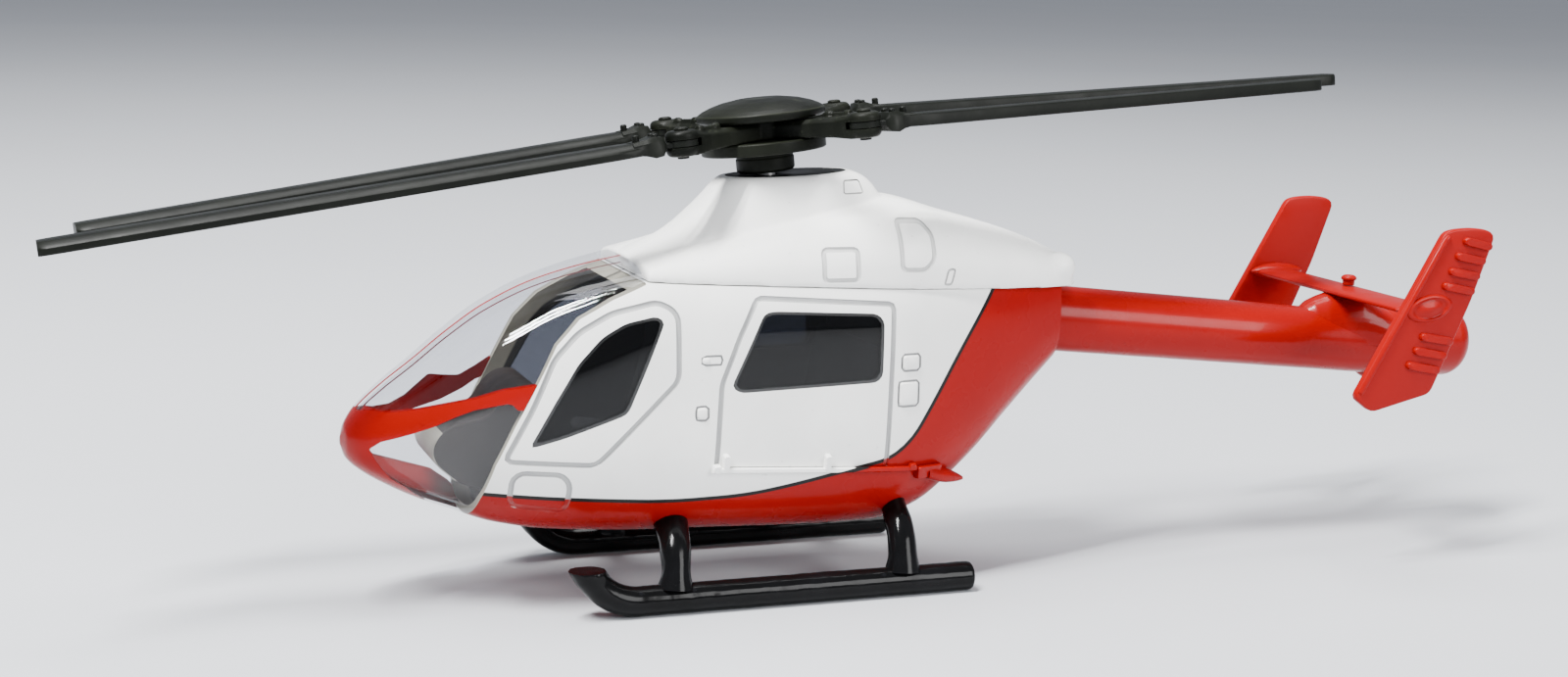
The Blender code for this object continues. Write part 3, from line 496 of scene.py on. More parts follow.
def moulded(name, colour, light, roughness, grain, strength, coat=0.0, specular=0.25):
    """Moulded plastic: fine grain, and paler where edges rub."""
    shader = Shader(name)
    worn = shader.spread(shader.node("NewGeometry").outputs["Pointiness"], 0.52, 0.62, 0.0, 0.75)
    cloudy = shader.blend(shader.spread(shader.noise(110.0), 0.35, 0.7, 0.0, 0.5), colour, light)
    tone = shader.blend(worn, cloudy, light)
    rough = shader.spread(shader.noise(240.0), 0.3, 0.7, roughness - 0.06, roughness + 0.08)
    return shader.finish(
        shader.surface(tone, rough, coat=coat, bump=shader.noise(grain, 4.0), strength=strength,
                       specular=specular)
    )


def make_steel():
    shader = Shader("zinc_plated_steel")
    brushed = shader.noise(500.0, 3.0, (1.0, 1.0, 6.0))
    colour = shader.blend(shader.spread(brushed, 0.3, 0.7, 0.0, 1.0), (0.5, 0.5, 0.48), (0.72, 0.71, 0.68))
    rough = shader.spread(brushed, 0.3, 0.7, 0.24, 0.42)
    return shader.finish(shader.surface(colour, rough, metallic=1.0))


def make_floor_finish():
    shader = Shader("studio_floor")
    colour = shader.blend(shader.noise(3.0), (0.46, 0.475, 0.5), (0.5, 0.51, 0.53))
    return shader.finish(shader.surface(colour, 0.55, bump=shader.noise(300.0), strength=0.02))



# ---------------------------------------------------------------- mesh helpers


def put(bm, name, finish, body=None, stands_for=()):
    """A new object from a bmesh in millimetres. With a body named, it is a piece of the model."""
    bmesh.ops.recalc_face_normals(bm, faces=bm.faces)
    bmesh.ops.scale(bm, vec=(MM, MM, MM), verts=bm.verts)
    mesh = bpy.data.meshes.new(name)
    bm.to_mesh(mesh)
    bm.free()
    obj = bpy.data.objects.new(name, mesh)
    bpy.context.scene.collection.objects.link(obj)
    mesh.materials.append(finish)
    if body:
        piece(obj, body, stands_for)
    return obj


def piece(obj, body, stands_for):
    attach(obj, body)
    if stands_for:
        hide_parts(*stands_for)


def smooth(obj, angle=30.0):
    obj.data.shade_smooth()
    obj.data.set_sharp_from_angle(angle=math.radians(angle))
    return obj


def whole(bm, name, finish, body, node, angle=30.0):
    """A piece that stands for one node and needs no more work than its shading."""
    return smooth(put(bm, name, finish, body, [node]), angle)


def apply(obj):
    """Turns the modifiers' result into the object's own mesh."""
    bpy.context.view_layer.update()
    graph = bpy.context.evaluated_depsgraph_get()
    mesh = bpy.data.meshes.new_from_object(obj.evaluated_get(graph))
    obj.modifiers.clear()
    obj.data = mesh
    return obj


def cut(obj, operation, *others):
    """Booleans the others into the object and removes them. Cut faces keep the cutter's finish."""
    for other in others:
        modifier = obj.modifiers.new("cut", "BOOLEAN")
        modifier.operation = operation
        modifier.object = other
        modifier.material_mode = "TRANSFER"
    apply(obj)
    for other in others:
        bpy.data.objects.remove(other)
    return obj


def rounded_edges(obj, width, segments=3, angle=35.0):
    bevel = obj.modifiers.new("bevel", "BEVEL")
    bevel.width = width * MM
    bevel.segments = segments
    bevel.limit_method = "ANGLE"
    bevel.angle_limit = math.radians(angle)
    return smooth(apply(obj))


def cast(obj, voxel, rounds):
    """Remeshes the object evenly and relaxes it, which fillets its edges as in a casting."""
    remesh = obj.modifiers.new("remesh", "REMESH")
    remesh.mode = "VOXEL"
    remesh.voxel_size = voxel * MM
    relax = obj.modifiers.new("relax", "SMOOTH")
    relax.factor = 0.5
    relax.iterations = rounds
    finish = obj.data.materials[0]
    apply(obj)
    obj.data.materials.clear()
    obj.data.materials.append(finish)
    return smooth(obj, 180.0)


def joined(meshes):
    """One bmesh that holds all of these."""
    bm = bmesh.new()
    for other in meshes:
        mesh = bpy.data.meshes.new("joining")
        other.to_mesh(mesh)
        other.free()
        bm.from_mesh(mesh)
        bpy.data.meshes.remove(mesh)
    return bm


def both_sides(bm):
    """The port shape and its starboard copy in one mesh."""
    copy = copy_of(bm, -1)
    bmesh.ops.reverse_faces(copy, faces=copy.faces)
    return joined([bm, copy])


def interpolate(table, x):
    """The row of the table at x, from a smooth curve through its rows that doesn't overshoot."""
    rows = np.array(table, float)[::-1]
    places = rows[:, 0]
    x = min(max(x, places[0]), places[-1])
    step = np.diff(rows, axis=0)
    slope = step / step[:, :1]
    tangent = np.zeros_like(rows)
    tangent[0], tangent[-1] = slope[0], slope[-1]
    for i in range(1, len(rows) - 1):
        before, after = slope[i - 1], slope[i]
        same = before * after > 0
        total = np.where(same, before + after, 1.0)
        tangent[i] = np.where(same, 2.0 * before * after / total, 0.0)
    i = max(min(int(np.searchsorted(places, x, side="right")) - 1, len(rows) - 2), 0)
    width = places[i + 1] - places[i]
    t = (x - places[i]) / width
    return (
        (1 + 2 * t) * (1 - t) ** 2 * rows[i]
        + t * (1 - t) ** 2 * width * tangent[i]
        + t * t * (3 - 2 * t) * rows[i + 1]
        + t * t * (t - 1) * width * tangent[i + 1]
    )


QUARTER = np.linspace(0.0, math.pi / 2, 160)


def quarter(reach, rise, exponent):
    """A superellipse quarter as (y, z) rows, from the side up to the middle."""
    rows = np.column_stack(
        (reach * np.cos(QUARTER) ** (2 / exponent), rise * np.sin(QUARTER) ** (2 / exponent))
    )
    rows[-1, 0] = 0.0
    return rows


def spaced(points, count):
    """count points, evenly spaced along the line through the points."""
    points = np.array(points, float)
    run = np.concatenate(([0.0], np.cumsum(np.linalg.norm(np.diff(points, axis=0), axis=1))))
    places = np.linspace(0.0, run[-1], count)
    return np.column_stack([np.interp(places, run, column) for column in points.T])


def mirrored_ring(x, half):
    port = [(x, y, z) for y, z in half]
    return port + [(x, -y, z) for _, y, z in port[-2:0:-1]]


def hull_ring(x, inset, count):
    """The body's cross-section at x, from the keel up the port side and down the other."""
    _, half, crown, keel, middle, upper, lower = interpolate(HULL, x)
    half = max(half - inset, 0.2)
    below = quarter(half, -max(middle - keel - inset, 0.2), lower)[::-1]
    above = quarter(half, max(crown - middle - inset, 0.2), upper)
    rows = np.vstack((below, above[1:])) + (0.0, middle)
    return mirrored_ring(x, spaced(rows, count // 2 + 1))


def hull_side(x, z, inset=0.0):
    _, half, crown, keel, middle, upper, lower = interpolate(HULL, x)
    reach, exponent = (crown - middle, upper) if z >= middle else (middle - keel, lower)
    share = min(abs(z - middle) / (reach - inset), 1.0)
    return (half - inset) * (1 - share**exponent) ** (1 / exponent)


def deck_z(x):
    return DECK_Z + DECK_SLOPE * x


def cowl_size(x):
    _, overhang, crown, exponent = interpolate(COWL, x)
    return hull_side(x, deck_z(x)) + overhang, crown - deck_z(x), exponent


def cowl_side(x, z):
    half, rise, exponent = cowl_size(x)
    share = min(max(z - deck_z(x), 0.0) / rise, 1.0)
    return half * (1 - share**exponent) ** (1 / exponent)


def loft(rings, closed=False):
    """A closed skin over rings of points, with flat ends, or joined end to end."""
    bm = bmesh.new()
    rows = [[bm.verts.new(point) for point in ring] for ring in rings]
    if closed:
        rows.append(rows[0])
    count = len(rows[0])
    for one, two in zip(rows, rows[1:]):
        for i in range(count):
            j = (i + 1) % count
            bm.faces.new((one[i], one[j], two[j], two[i]))
    if not closed:
        bm.faces.new(rows[0])
        bm.faces.new(reversed(rows[-1]))
    return bm


def slab(outline, low, high):
    return loft([[(x, y, z) for x, z in outline] for y in (low, high)])


def box(low, high):
    bm = bmesh.new()
    bmesh.ops.create_cube(bm, size=1.0)
    bmesh.ops.scale(bm, vec=[b - a for a, b in zip(low, high)], verts=bm.verts)
    bmesh.ops.translate(bm, vec=[(a + b) / 2 for a, b in zip(low, high)], verts=bm.verts)
    return bm


def circle(count):
    """(cosine, sine) pairs, evenly spaced once round."""
    angles = [2 * math.pi * k / count for k in range(count)]
    return [(math.cos(a), math.sin(a)) for a in angles]


def moved(bm, place):
    bmesh.ops.transform(bm, matrix=place, verts=bm.verts)
    return bm


def copy_of(bm, sign):
    """A copy of the mesh, on the port side with sign 1 and mirrored to starboard with -1."""
    copy = bm.copy()
    bmesh.ops.scale(copy, vec=(1, sign, 1), verts=copy.verts)
    return copy


def spun(profile, steps, place=Matrix()):
    """A turned shape: the profile is (radius, height) pairs from one end of the axis to the other."""
    rows = [(max(radius, 0.01), height) for radius, height in profile]
    rings = [[(radius * c, radius * s, height) for c, s in circle(steps)] for radius, height in rows]
    return moved(loft(rings), place)


def cylinder(radius, low, high, steps, place=Matrix()):
    return spun(((radius, low), (radius, high)), steps, place)


def softened(profile, radius, steps=4):
    """The profile with its corners rounded, by a short curve at each inner point."""
    points = [Vector(point) for point in profile]
    result = [points[0]]
    for before, here, after in zip(points, points[1:], points[2:]):
        reach = min(radius, (before - here).length / 2, (after - here).length / 2)
        if reach < 1e-6:
            continue
        start = here + (before - here).normalized() * reach
        end = here + (after - here).normalized() * reach
        for i in range(steps + 1):
            t = i / steps
            result.append((1 - t) ** 2 * start + 2 * t * (1 - t) * here + t * t * end)
    result.append(points[-1])
    return [tuple(point) for point in result]


def rounded(outline, radius, spacing=0.8):
    """A closed outline with rounded corners and evenly spaced points."""
    middle = (Vector(outline[0]) + Vector(outline[-1])) / 2
    loop = softened([tuple(middle), *outline, tuple(middle)], radius, 6)
    length = sum((Vector(a) - Vector(b)).length for a, b in zip(loop, loop[1:]))
    return [tuple(point) for point in spaced(loop, max(int(length / spacing), 12))[:-1]]


def channel(path, width, depth, surface):
    """A cutter that follows a line drawn on the side, with a rounded floor at the given depth."""
    rings = []
    count = len(path)
    for i in range(count):
        along = (Vector(path[(i + 1) % count]) - Vector(path[i - 1])).normalized()
        ring = []
        for share, out in ((-1, 1.2), (-1, 0.0), (-0.5, -depth), (0.5, -depth), (1, 0.0), (1, 1.2)):
            x = path[i][0] - along.y * share * width / 2
            z = path[i][1] + along.x * share * width / 2
            ring.append((x, surface(x, z) + out, z))
        rings.append(ring)
    return loft(rings, closed=True)


def tube(points, radius, steps, shares):
    """A round bar along the points, whose radius at each point is that point's share of the full one."""
    points = [Vector(point) for point in points]
    rings = []
    side = Vector((0, 1, 0))
    for i, point in enumerate(points):
        along = (points[min(i + 1, len(points) - 1)] - points[max(i - 1, 0)]).normalized()
        side = (side - along * side.dot(along)).normalized()
        across = along.cross(side)
        reach = radius * shares[i]
        rings.append([point + (side * c + across * s) * reach for c, s in circle(steps)])
    return loft(rings)


def capped(points, radius, lip):
    """A path and its radius shares, with a small rounded lip at both ends."""
    ends = ((0.0, 1 - lip / radius), (0.3 * lip, 1 - 0.3 * lip / radius), (lip, 1.0))
    points = [Vector(point) for point in points]
    first = (points[1] - points[0]).normalized()
    last = (points[-2] - points[-1]).normalized()
    path = [points[0] + first * step for step, _ in ends]
    path += points[1:-1]
    path += [points[-1] + last * step for step, _ in reversed(ends)]
    lips = [share for _, share in ends]
    return path, lips + [1.0] * (len(points) - 2) + lips[::-1]


def side_distance(points, outline):
    """Signed distances in the side view to a closed outline, positive inside it."""
    inside = np.zeros(len(points), bool)
    nearest = np.full(len(points), 1e9)
    x, z = points[:, 0], points[:, 2]
    for (x1, z1), (x2, z2) in zip(outline, [*outline[1:], outline[0]]):
        crosses = ((z1 > z) != (z2 > z)) & (x < (x2 - x1) * (z - z1) / ((z2 - z1) or 1e-9) + x1)
        inside ^= crosses
        run, rise = x2 - x1, z2 - z1
        share = np.clip(((x - x1) * run + (z - z1) * rise) / max(run * run + rise * rise, 1e-9), 0.0, 1.0)
        nearest = np.minimum(nearest, np.hypot(x - x1 - share * run, z - z1 - share * rise))
    return np.where(inside, nearest, -nearest)


def points_of(obj):
    points = np.empty(len(obj.data.vertices) * 3, np.float32)
    obj.data.vertices.foreach_get("co", points)
    return points.reshape(-1, 3).astype(float) / MM


def store(obj, name, values):
    """Keeps a value per point, which the material reads."""
    attribute = obj.data.attributes.new(name, "FLOAT", "POINT")
    attribute.data.foreach_set("value", values.astype(np.float32))


def lumpy(obj, size, scale):
    """Real unevenness of a thickly painted piece, as a small seeded displacement."""
    texture = bpy.data.textures.new(obj.name + "_lumps", "CLOUDS")
    texture.noise_scale = scale * MM
    modifier = obj.modifiers.new("lumps", "DISPLACE")
    modifier.texture = texture
    modifier.texture_coords = "LOCAL"
    modifier.strength = size * MM
    modifier.mid_level = 0.5
    return smooth(apply(obj), 40.0)


# ---------------------------------------------------------------- body


def along(front, rear, count):
    """Places along the body, closer together towards the nose."""
    return [rear + (front - rear) * math.sin(math.pi / 2 * i / count) for i in range(count, -1, -1)]


def hull(inset, front, rear, count, around):
    return loft([hull_ring(x, inset, around) for x in along(front, rear, count)])


def local_hull(inset, outline, margin=1.5):
    """A slice of the body's solid that spans a side outline, with fine cross-sections."""
    low = min(x for x, _ in outline) - margin
    high = max(x for x, _ in outline) + margin
    places = np.linspace(high, low, int((high - low) / 0.7))
    return loft([hull_ring(x, inset, 128) for x in places])


def nose_outline(shift):
    joint = [(x + shift, z) for x, z in PILLAR]
    return [(joint[0][0], 75.0), *joint, (joint[-1][0], 0.0), (100.0, 0.0), (100.0, 75.0)]


def belly_outline(shift):
    top = [(x, z - shift) for x, z in BELLY]
    return [*top, (BELLY[-1][0], 0.0), (BELLY[0][0], 0.0)]


def above_deck(lift):
    low, high = -60.0, 100.0
    outline = [(high, deck_z(high) + lift), (low, deck_z(low) + lift), (low, 90.0), (high, 90.0)]
    return slab(outline, -REACH, REACH)


def red_distance(points):
    """How far each point lies inside the red of the body's side."""
    outline = [*softened(SPLIT, 5.0, 8), (-60.0, 60.0), (-60.0, -10.0), (80.0, -10.0)]
    return side_distance(points, outline)


def make_body():
    body = put(hull(0.0, NOSE_X - 4, REAR_X, 130, 136), "body_casting", BODY_PAINT)
    cavity = put(hull(WALL, NOSE_X - 6, REAR_X + 5, 60, 80), "cavity", LINER)
    cut(cavity, "DIFFERENCE", put(above_deck(-WALL), "roof", LINER))
    smooth(cavity)
    spaces = [
        cavity,
        put(slab(nose_outline(0.0), -REACH, REACH), "nose_space", LINER),
        put(above_deck(0.0), "deck", BODY_PAINT),
        put(slab(belly_outline(0.0), -REACH, REACH), "belly_space", BODY_PAINT),
        put(slab(rounded(FRONT_WINDOW, 1.2), -REACH, REACH), "front_windows", BLACK_EDGE),
        put(slab(rounded(REAR_WINDOW, 1.2), -REACH, REACH), "rear_windows", BLACK_EDGE),
    ]
    cut(body, "DIFFERENCE", *spaces)
    lines = [
        both_sides(channel(rounded(outline, radius), width, 0.3, hull_side))
        for outline, radius, width in (
            (FRONT_DOOR, 1.4, 0.95), (REAR_DOOR, 1.0, 0.95), (HATCH, 1.8, 0.95),
            *((rectangle(*size), 0.5, 0.4) for size in FITTING_RIMS),
        )
    ]
    cut(body, "DIFFERENCE", put(joined(lines), "door_lines", GROOVE))
    points = points_of(body)
    store(body, "red", red_distance(points))
    store(body, "joint", side_distance(points, nose_outline(0.0)))
    piece(smooth(body), "fuselage", ["body_shell"])


def make_belly():
    pan = put(hull(0.0, NOSE_X - 4, REAR_X, 110, 136), "belly_casting", RED_PAINT)
    cut(pan, "INTERSECT", put(slab(belly_outline(PAN_SEAM), -REACH, REACH), "belly_keep", RED_PAINT))
    cut(pan, "DIFFERENCE", put(hull(WALL, NOSE_X - 6, REAR_X + 5, 40, 72), "belly_cavity", RED_PAINT))
    wells = [
        cylinder(2.5, interpolate(HULL, x)[3] - 3, 20, 32, Matrix.Translation((x, 0, 0)))
        for _, x in BELLY_SCREWS
    ]
    cut(pan, "DIFFERENCE", put(joined(wells), "screw_wells", RED_PAINT))
    piece(smooth(pan), "fuselage", ["belly_pan"])
    for name, x in BELLY_SCREWS:
        keel = interpolate(HULL, x)[3]
        head = ((0.0, 0.25), (1.5, 0.35), (2.1, 0.75), (2.1, 1.1), (1.2, 1.1))
        profile = [(radius, keel + up) for radius, up in head]
        bm = spun([*profile, (1.2, 15.2), (0.0, 15.2)], 40, Matrix.Translation((x, 0, 0)))
        screw = put(bm, f"pan_screw_{name}", STEEL, "fuselage", [f"belly_screw_{name}"])
        cross = []
        for long, short in ((1.2, 0.25), (0.25, 1.2)):
            cross.append(box((x - long, -short, keel - 1), (x + long, short, keel + 0.7)))
        for number, bm in enumerate(cross):
            cut(screw, "DIFFERENCE", put(bm, f"drive_{number}", STEEL))
        smooth(screw)


def make_canopy():
    canopy = put(hull(0.0, NOSE_X, 30.0, 110, 136), "canopy_moulding", CANOPY)
    cut(canopy, "INTERSECT", put(slab(nose_outline(SEAM), -REACH, REACH), "nose_keep", CANOPY))
    cut(canopy, "DIFFERENCE", put(hull(GLASS, NOSE_X - GLASS, 20.0, 90, 120), "canopy_hollow", CANOPY))
    points = points_of(canopy)
    port, starboard = (
        np.maximum(side_distance(points, band), side_distance(points, keel))
        for band, keel in ((BAND_PORT, KEEL_PORT), (BAND_STARBOARD, KEEL_STARBOARD))
    )
    red = np.maximum(np.where(points[:, 1] >= 0, port, starboard), side_distance(points, NOSE_CAP))
    spine = np.where(points[:, 2] > SPINE_LOW_Z, SPINE - np.abs(points[:, 1]), -9.0)
    store(canopy, "red", np.maximum(red, spine))
    piece(smooth(canopy), "fuselage", ["nose_canopy"])


def make_panes():
    for name, outline in (("front_window", FRONT_WINDOW), ("rear_window", REAR_WINDOW)):
        edge = rounded(outline, 1.2)
        pane = put(local_hull(0.1, outline), name + "_pane", WINDOW)
        cut(pane, "INTERSECT", put(slab(edge, 2, 30), "pane_keep", WINDOW))
        cut(pane, "DIFFERENCE", put(local_hull(1.1, outline, 3.0), "pane_inside", WINDOW))
        store(pane, "rim", np.abs(side_distance(points_of(pane), edge)))
        smooth(pane)
        for side, sign in SIDES:
            mesh = pane.data.copy()
            mesh.transform(Matrix.Diagonal((1, sign, 1, 1)))
            if sign < 0:
                mesh.flip_normals()
            copy = bpy.data.objects.new(f"{name}_pane_{side}", mesh)
            bpy.context.scene.collection.objects.link(copy)
            piece(copy, "fuselage", [f"{name}_{side}"])
        bpy.data.objects.remove(pane)


def pad(outline, out, surface, radius=0.4):
    """A raised patch on the side, following its surface, with rounded edges."""
    edge = rounded(outline, radius, 0.3)
    middle = sum((Vector(point) for point in edge), Vector((0, 0))) / len(edge)
    size = max((Vector(point) - middle).length for point in edge)
    rings = []
    for inset, rise in ((-0.12, -0.3), (-0.12, 0.0), (0.0, out * 0.5), (0.08, out * 0.85), (0.25, out)):
        ring = []
        for point in edge:
            x, z = middle + (Vector(point) - middle) * (1 - inset / size)
            ring.append((x, surface(x, z) + rise, z))
        rings.append(ring)
    return loft(rings)


def rectangle(x, z, width, height):
    return (
        (x - width / 2, z - height / 2), (x + width / 2, z - height / 2),
        (x + width / 2, z + height / 2), (x - width / 2, z + height / 2),
    )


def make_side_fittings():
    """The door handles, locks and access covers on both sides of the body."""
    shapes = [
        pad(rectangle(31.4, 34.0, 1.6, 1.8), 0.3, hull_side, 0.6),
        pad(rectangle(30.9, 43.0, 1.1, 0.9), 0.3, hull_side, 0.3),
        pad(rectangle(-6.9, 41.1, 3.0, 2.3), 0.35, hull_side),
        pad(rectangle(-6.6, 35.6, 3.4, 3.9), 0.35, hull_side),
    ]
    fittings = both_sides(joined(shapes))
    smooth(put(fittings, "side_fittings", WHITE_PAINT, "fuselage"), 40)


def rail_z(x):
    return RAIL_Z + RAIL_SLOPE * x


def make_rails():
    """Each sliding door's lower rail with its two brackets, and the pointed fairing behind it."""
    rings = []
    for i in range(49):
        x = RAIL_FRONT_X + (RAIL_REAR_X - RAIL_FRONT_X) * i / 48
        z = rail_z(x)
        shape = ((0.05, -0.5), (0.8, -0.5), (1.0, -0.35), (1.0, 0.2), (0.85, 0.35), (0.05, 0.35))
        rings.append([(x, hull_side(x, z) + out, z + up) for out, up in shape])
    rail = joined([
        loft(rings),
        pad(rectangle(27.0, rail_z(27.0) + 1.2, 1.1, 3.0), 1.15, hull_side, 0.35),
        pad(rectangle(8.4, rail_z(8.4) + 1.2, 1.1, 3.0), 1.15, hull_side, 0.35),
        pad(rectangle(28.6, rail_z(28.6) + 0.1, 1.4, 1.5), 1.2, hull_side, 0.4),
        pad(rectangle(-8.2, rail_z(-8.2) + 0.1, 1.5, 1.4), 1.1, hull_side, 0.4),
    ])
    rings = []
    for i in range(31):
        t = i / 30
        x = -12.0 - 8.2 * t
        reach = 0.2 + 1.5 * math.sin(math.pi * (0.3 + 0.68 * t)) ** 0.8
        y, z = 15.2 - 2.6 * t, 20.6 - 2.2 * t
        rings.append([(x, y + reach * c, z + 0.85 * reach * s) for c, s in circle(20)])
    fairing = joined([loft(rings), pad(rectangle(-12.0, 20.9, 5.4, 2.4), 1.3, hull_side, 0.6)])
    for side, sign in SIDES:
        for name, bm, finish, node, slot in (
            ("door_slide_", rail, BODY_PAINT, "door_rail_", "white_plastic"),
            ("rail_spindle_", fairing, RED_PAINT, "rail_fairing_", "red_paint"),
        ):
            made = whole(copy_of(bm, sign), name + side, finish, "fuselage", node + side, 40)
            if finish is BODY_PAINT:
                store(made, "red", red_distance(points_of(made)))
    rail.free()
    fairing.free()


# ---------------------------------------------------------------- cowling


def cowl_ring(x, count):
    half, rise, exponent = cowl_size(x)
    rows = spaced(quarter(half, rise, exponent), count // 2)
    base = deck_z(x) + SEAM
    port = [(x, y, base + z) for y, z in rows]
    return port + [(x, -y, z) for _, y, z in port[-2::-1]]


def pylon_point(z, angle):
    """A point of the mast fairing at level z: a rounded plan that is flatter at its sides."""
    _, front, rear, half = interpolate(PYLON, z)
    middle, reach = (front + rear) / 2, (front - rear) / 2
    across, ahead = math.sin(angle), math.cos(angle)
    power = 2 / PYLON_CORNER
    y = half * math.copysign(abs(across) ** power, across)
    x = reach * math.copysign(abs(ahead) ** power, ahead)
    return middle + x, y


def pylon(count=72):
    middle = (PYLON[0][1] + PYLON[0][2]) / 2
    rings = []
    for i in range(25):
        z = PYLON[-1][0] + (PYLON[0][0] - PYLON[-1][0]) * i / 24
        lean = math.tan(math.radians(PYLON_TILT)) * max(z - 66, 0.0) / 6.5
        ring = []
        for k in range(count):
            x, y = pylon_point(z, 2 * math.pi * k / count)
            ring.append((x, y, z - lean * (x - middle)))
        rings.append(ring)
    return loft(rings)


def pylon_side(x, z):
    _, front, rear, half = interpolate(PYLON, z)
    share = min(abs(x - (front + rear) / 2) / ((front - rear) / 2), 1.0)
    return half * (1 - share**PYLON_CORNER) ** (1 / PYLON_CORNER)


def recess_place():
    """Where a round shape becomes the oval recess in the pylon's top face."""
    middle = (PYLON[0][1] + PYLON[0][2]) / 2
    tilt = Matrix.Rotation(math.radians(PYLON_TILT), 4, "Y")
    return Matrix.Translation((middle, 0, PYLON[0][0])) @ tilt @ Matrix.Diagonal(RECESS_OVAL)


def make_cowling():
    places = np.linspace(COWL[0][0], COWL[-1][0], 110)
    cowling = put(loft([cowl_ring(x, 96) for x in places]), "cowling_casting", WHITE_PAINT)
    bumps = []
    for side in (1, -1):
        bump = bmesh.new()
        bmesh.ops.create_icosphere(bump, subdivisions=4, radius=EXHAUST_R)
        bmesh.ops.scale(bump, vec=(1.15, 1.0, 1.0), verts=bump.verts)
        bmesh.ops.translate(bump, vec=(EXHAUST[0], side * EXHAUST[1], EXHAUST[2]), verts=bump.verts)
        bumps.append(put(bump, f"bump_{side}", WHITE_PAINT))
    cut(cowling, "UNION", put(pylon(), "pylon", WHITE_PAINT), *bumps)
    cast(cowling, 0.42, 3)
    inside = []
    for x in np.linspace(COWL[0][0] - WALL, -36.0, 40):
        half, rise, exponent = cowl_size(x)
        rows = spaced(quarter(half - WALL, rise - WALL, exponent), 20)
        port = [(x, y, deck_z(x) + z) for y, z in rows]
        ring = port + [(x, -y, z) for _, y, z in port[-2::-1]]
        inside.append([(x, port[0][1], deck_z(x) - 5), *ring, (x, -port[0][1], deck_z(x) - 5)])
    recess = cylinder(8.2, -0.75, 4.0, 72, recess_place())
    bore = cylinder(BORE_R, -30, 4.0, 32, mast_place())
    cut(cowling, "DIFFERENCE", put(loft(inside), "hollow", LINER), put(recess, "recess", BLACK_EDGE))
    cut(cowling, "DIFFERENCE", put(bore, "bore", BLACK_EDGE))
    lines = [
        both_sides(channel(rounded(outline, radius, 0.4), width, 0.28, surface))
        for outline, radius, width, surface in (
            (COWL_SQUARE, 0.8, 0.9, cowl_side), (COWL_PANEL, 1.0, 0.9, cowl_side),
            (COWL_SLOT, 0.4, 0.45, cowl_side), (PYLON_DOOR, 0.3, 0.25, pylon_side),
        )
    ]
    # The cut faces take a grey that is painted shade.
    cut(cowling, "DIFFERENCE", put(joined(lines), "cowl_lines", COWL_GROOVE_SHADE))
    piece(smooth(cowling, 40), "fuselage", ["upper_cowling"])


def mast_place():
    return (
        Matrix.Translation((MAST_X, 0, MAST_Z))
        @ Matrix.Rotation(math.radians(MAST_TILT), 4, "Y")
        @ Matrix.Rotation(math.radians(MAST_LEAN), 4, "X")
    )


# ---------------------------------------------------------------- cabin


def make_cabin():
    """Seats, bench and console, seen through the clear nose and dimly through the windows."""
    for name, node, outline, low, high, corner, edge in (
        ("pilot_seat_port", "seat_port", SEAT, 1.6, 12.8, 2.0, 1.2),
        ("pilot_seat_starboard", "seat_starboard", SEAT, -12.8, -1.6, 2.0, 1.2),
        ("cabin_bench", "rear_bench", BENCH, -13.5, 13.5, 1.2, 1.0),
    ):
        bm = slab(rounded(outline, corner, 1.0), low, high)
        rounded_edges(put(bm, name, SEAT_PLASTIC, "fuselage", [node]), edge)
    bm = slab(rounded(CONSOLE, 1.5, 0.8), -8.0, 8.0)
    console = put(bm, "console", CABIN, "fuselage", ["instrument_panel"])
    console.data.materials.append(PALE)
    for polygon in console.data.polygons:
        if polygon.normal.x > 0.6 and polygon.center.z < 31.0 * MM:
            polygon.material_index = 1
    rounded_edges(console, 0.5)
    tub = frame["nodes"]["cabin_tub"].data.materials
    tub.clear()
    tub.append(PALE)


# ---------------------------------------------------------------- tail


def boom_place():
    direction = Vector((-1, 0, -BOOM_SLOPE)).normalized()
    return Matrix.Translation(BOOM_START) @ direction.to_track_quat("Z", "Y").to_matrix().to_4x4()


def drum_place():
    end = boom_place() @ Vector((0, 0, BOOM_LENGTH + 0.6))
    return Matrix.Translation(end) @ Matrix.Rotation(-math.pi / 2, 4, "Y")


def make_tail():
    boom = softened(
        ((0.0, -6.0), (4.0, -6.0), (4.0, 0.1), (BOOM_R + 0.15, 0.1), (BOOM_R, BOOM_LENGTH + 2.5),
         (4.0, BOOM_LENGTH + 2.5), (4.0, BOOM_LENGTH + 6), (0.0, BOOM_LENGTH + 6)), 0.3
    )
    whole(spun(boom, 96, boom_place()), "boom_tube", RED_PAINT, "fuselage", "tail_boom")
    arc = [
        (DRUM_R * math.cos(math.radians(a)), DRUM_LENGTH - 5.0 * (1 - math.sin(math.radians(a))))
        for a in range(86, -1, -6)
    ]
    mouth = ((DRUM_R, 0.5), (DRUM_R - 0.5, 0.0), (5.0, 0.0), (5.0, 6.8), (0.0, 6.8))
    shape = [(0.0, DRUM_LENGTH), *arc, *softened([(DRUM_R, 4.0), *mouth], 0.3)]
    whole(spun(shape, 96, drum_place()), "thruster_can", RED_PAINT, "fuselage", "thruster_drum")
    make_saddle()
    make_stabiliser()
    make_fins()


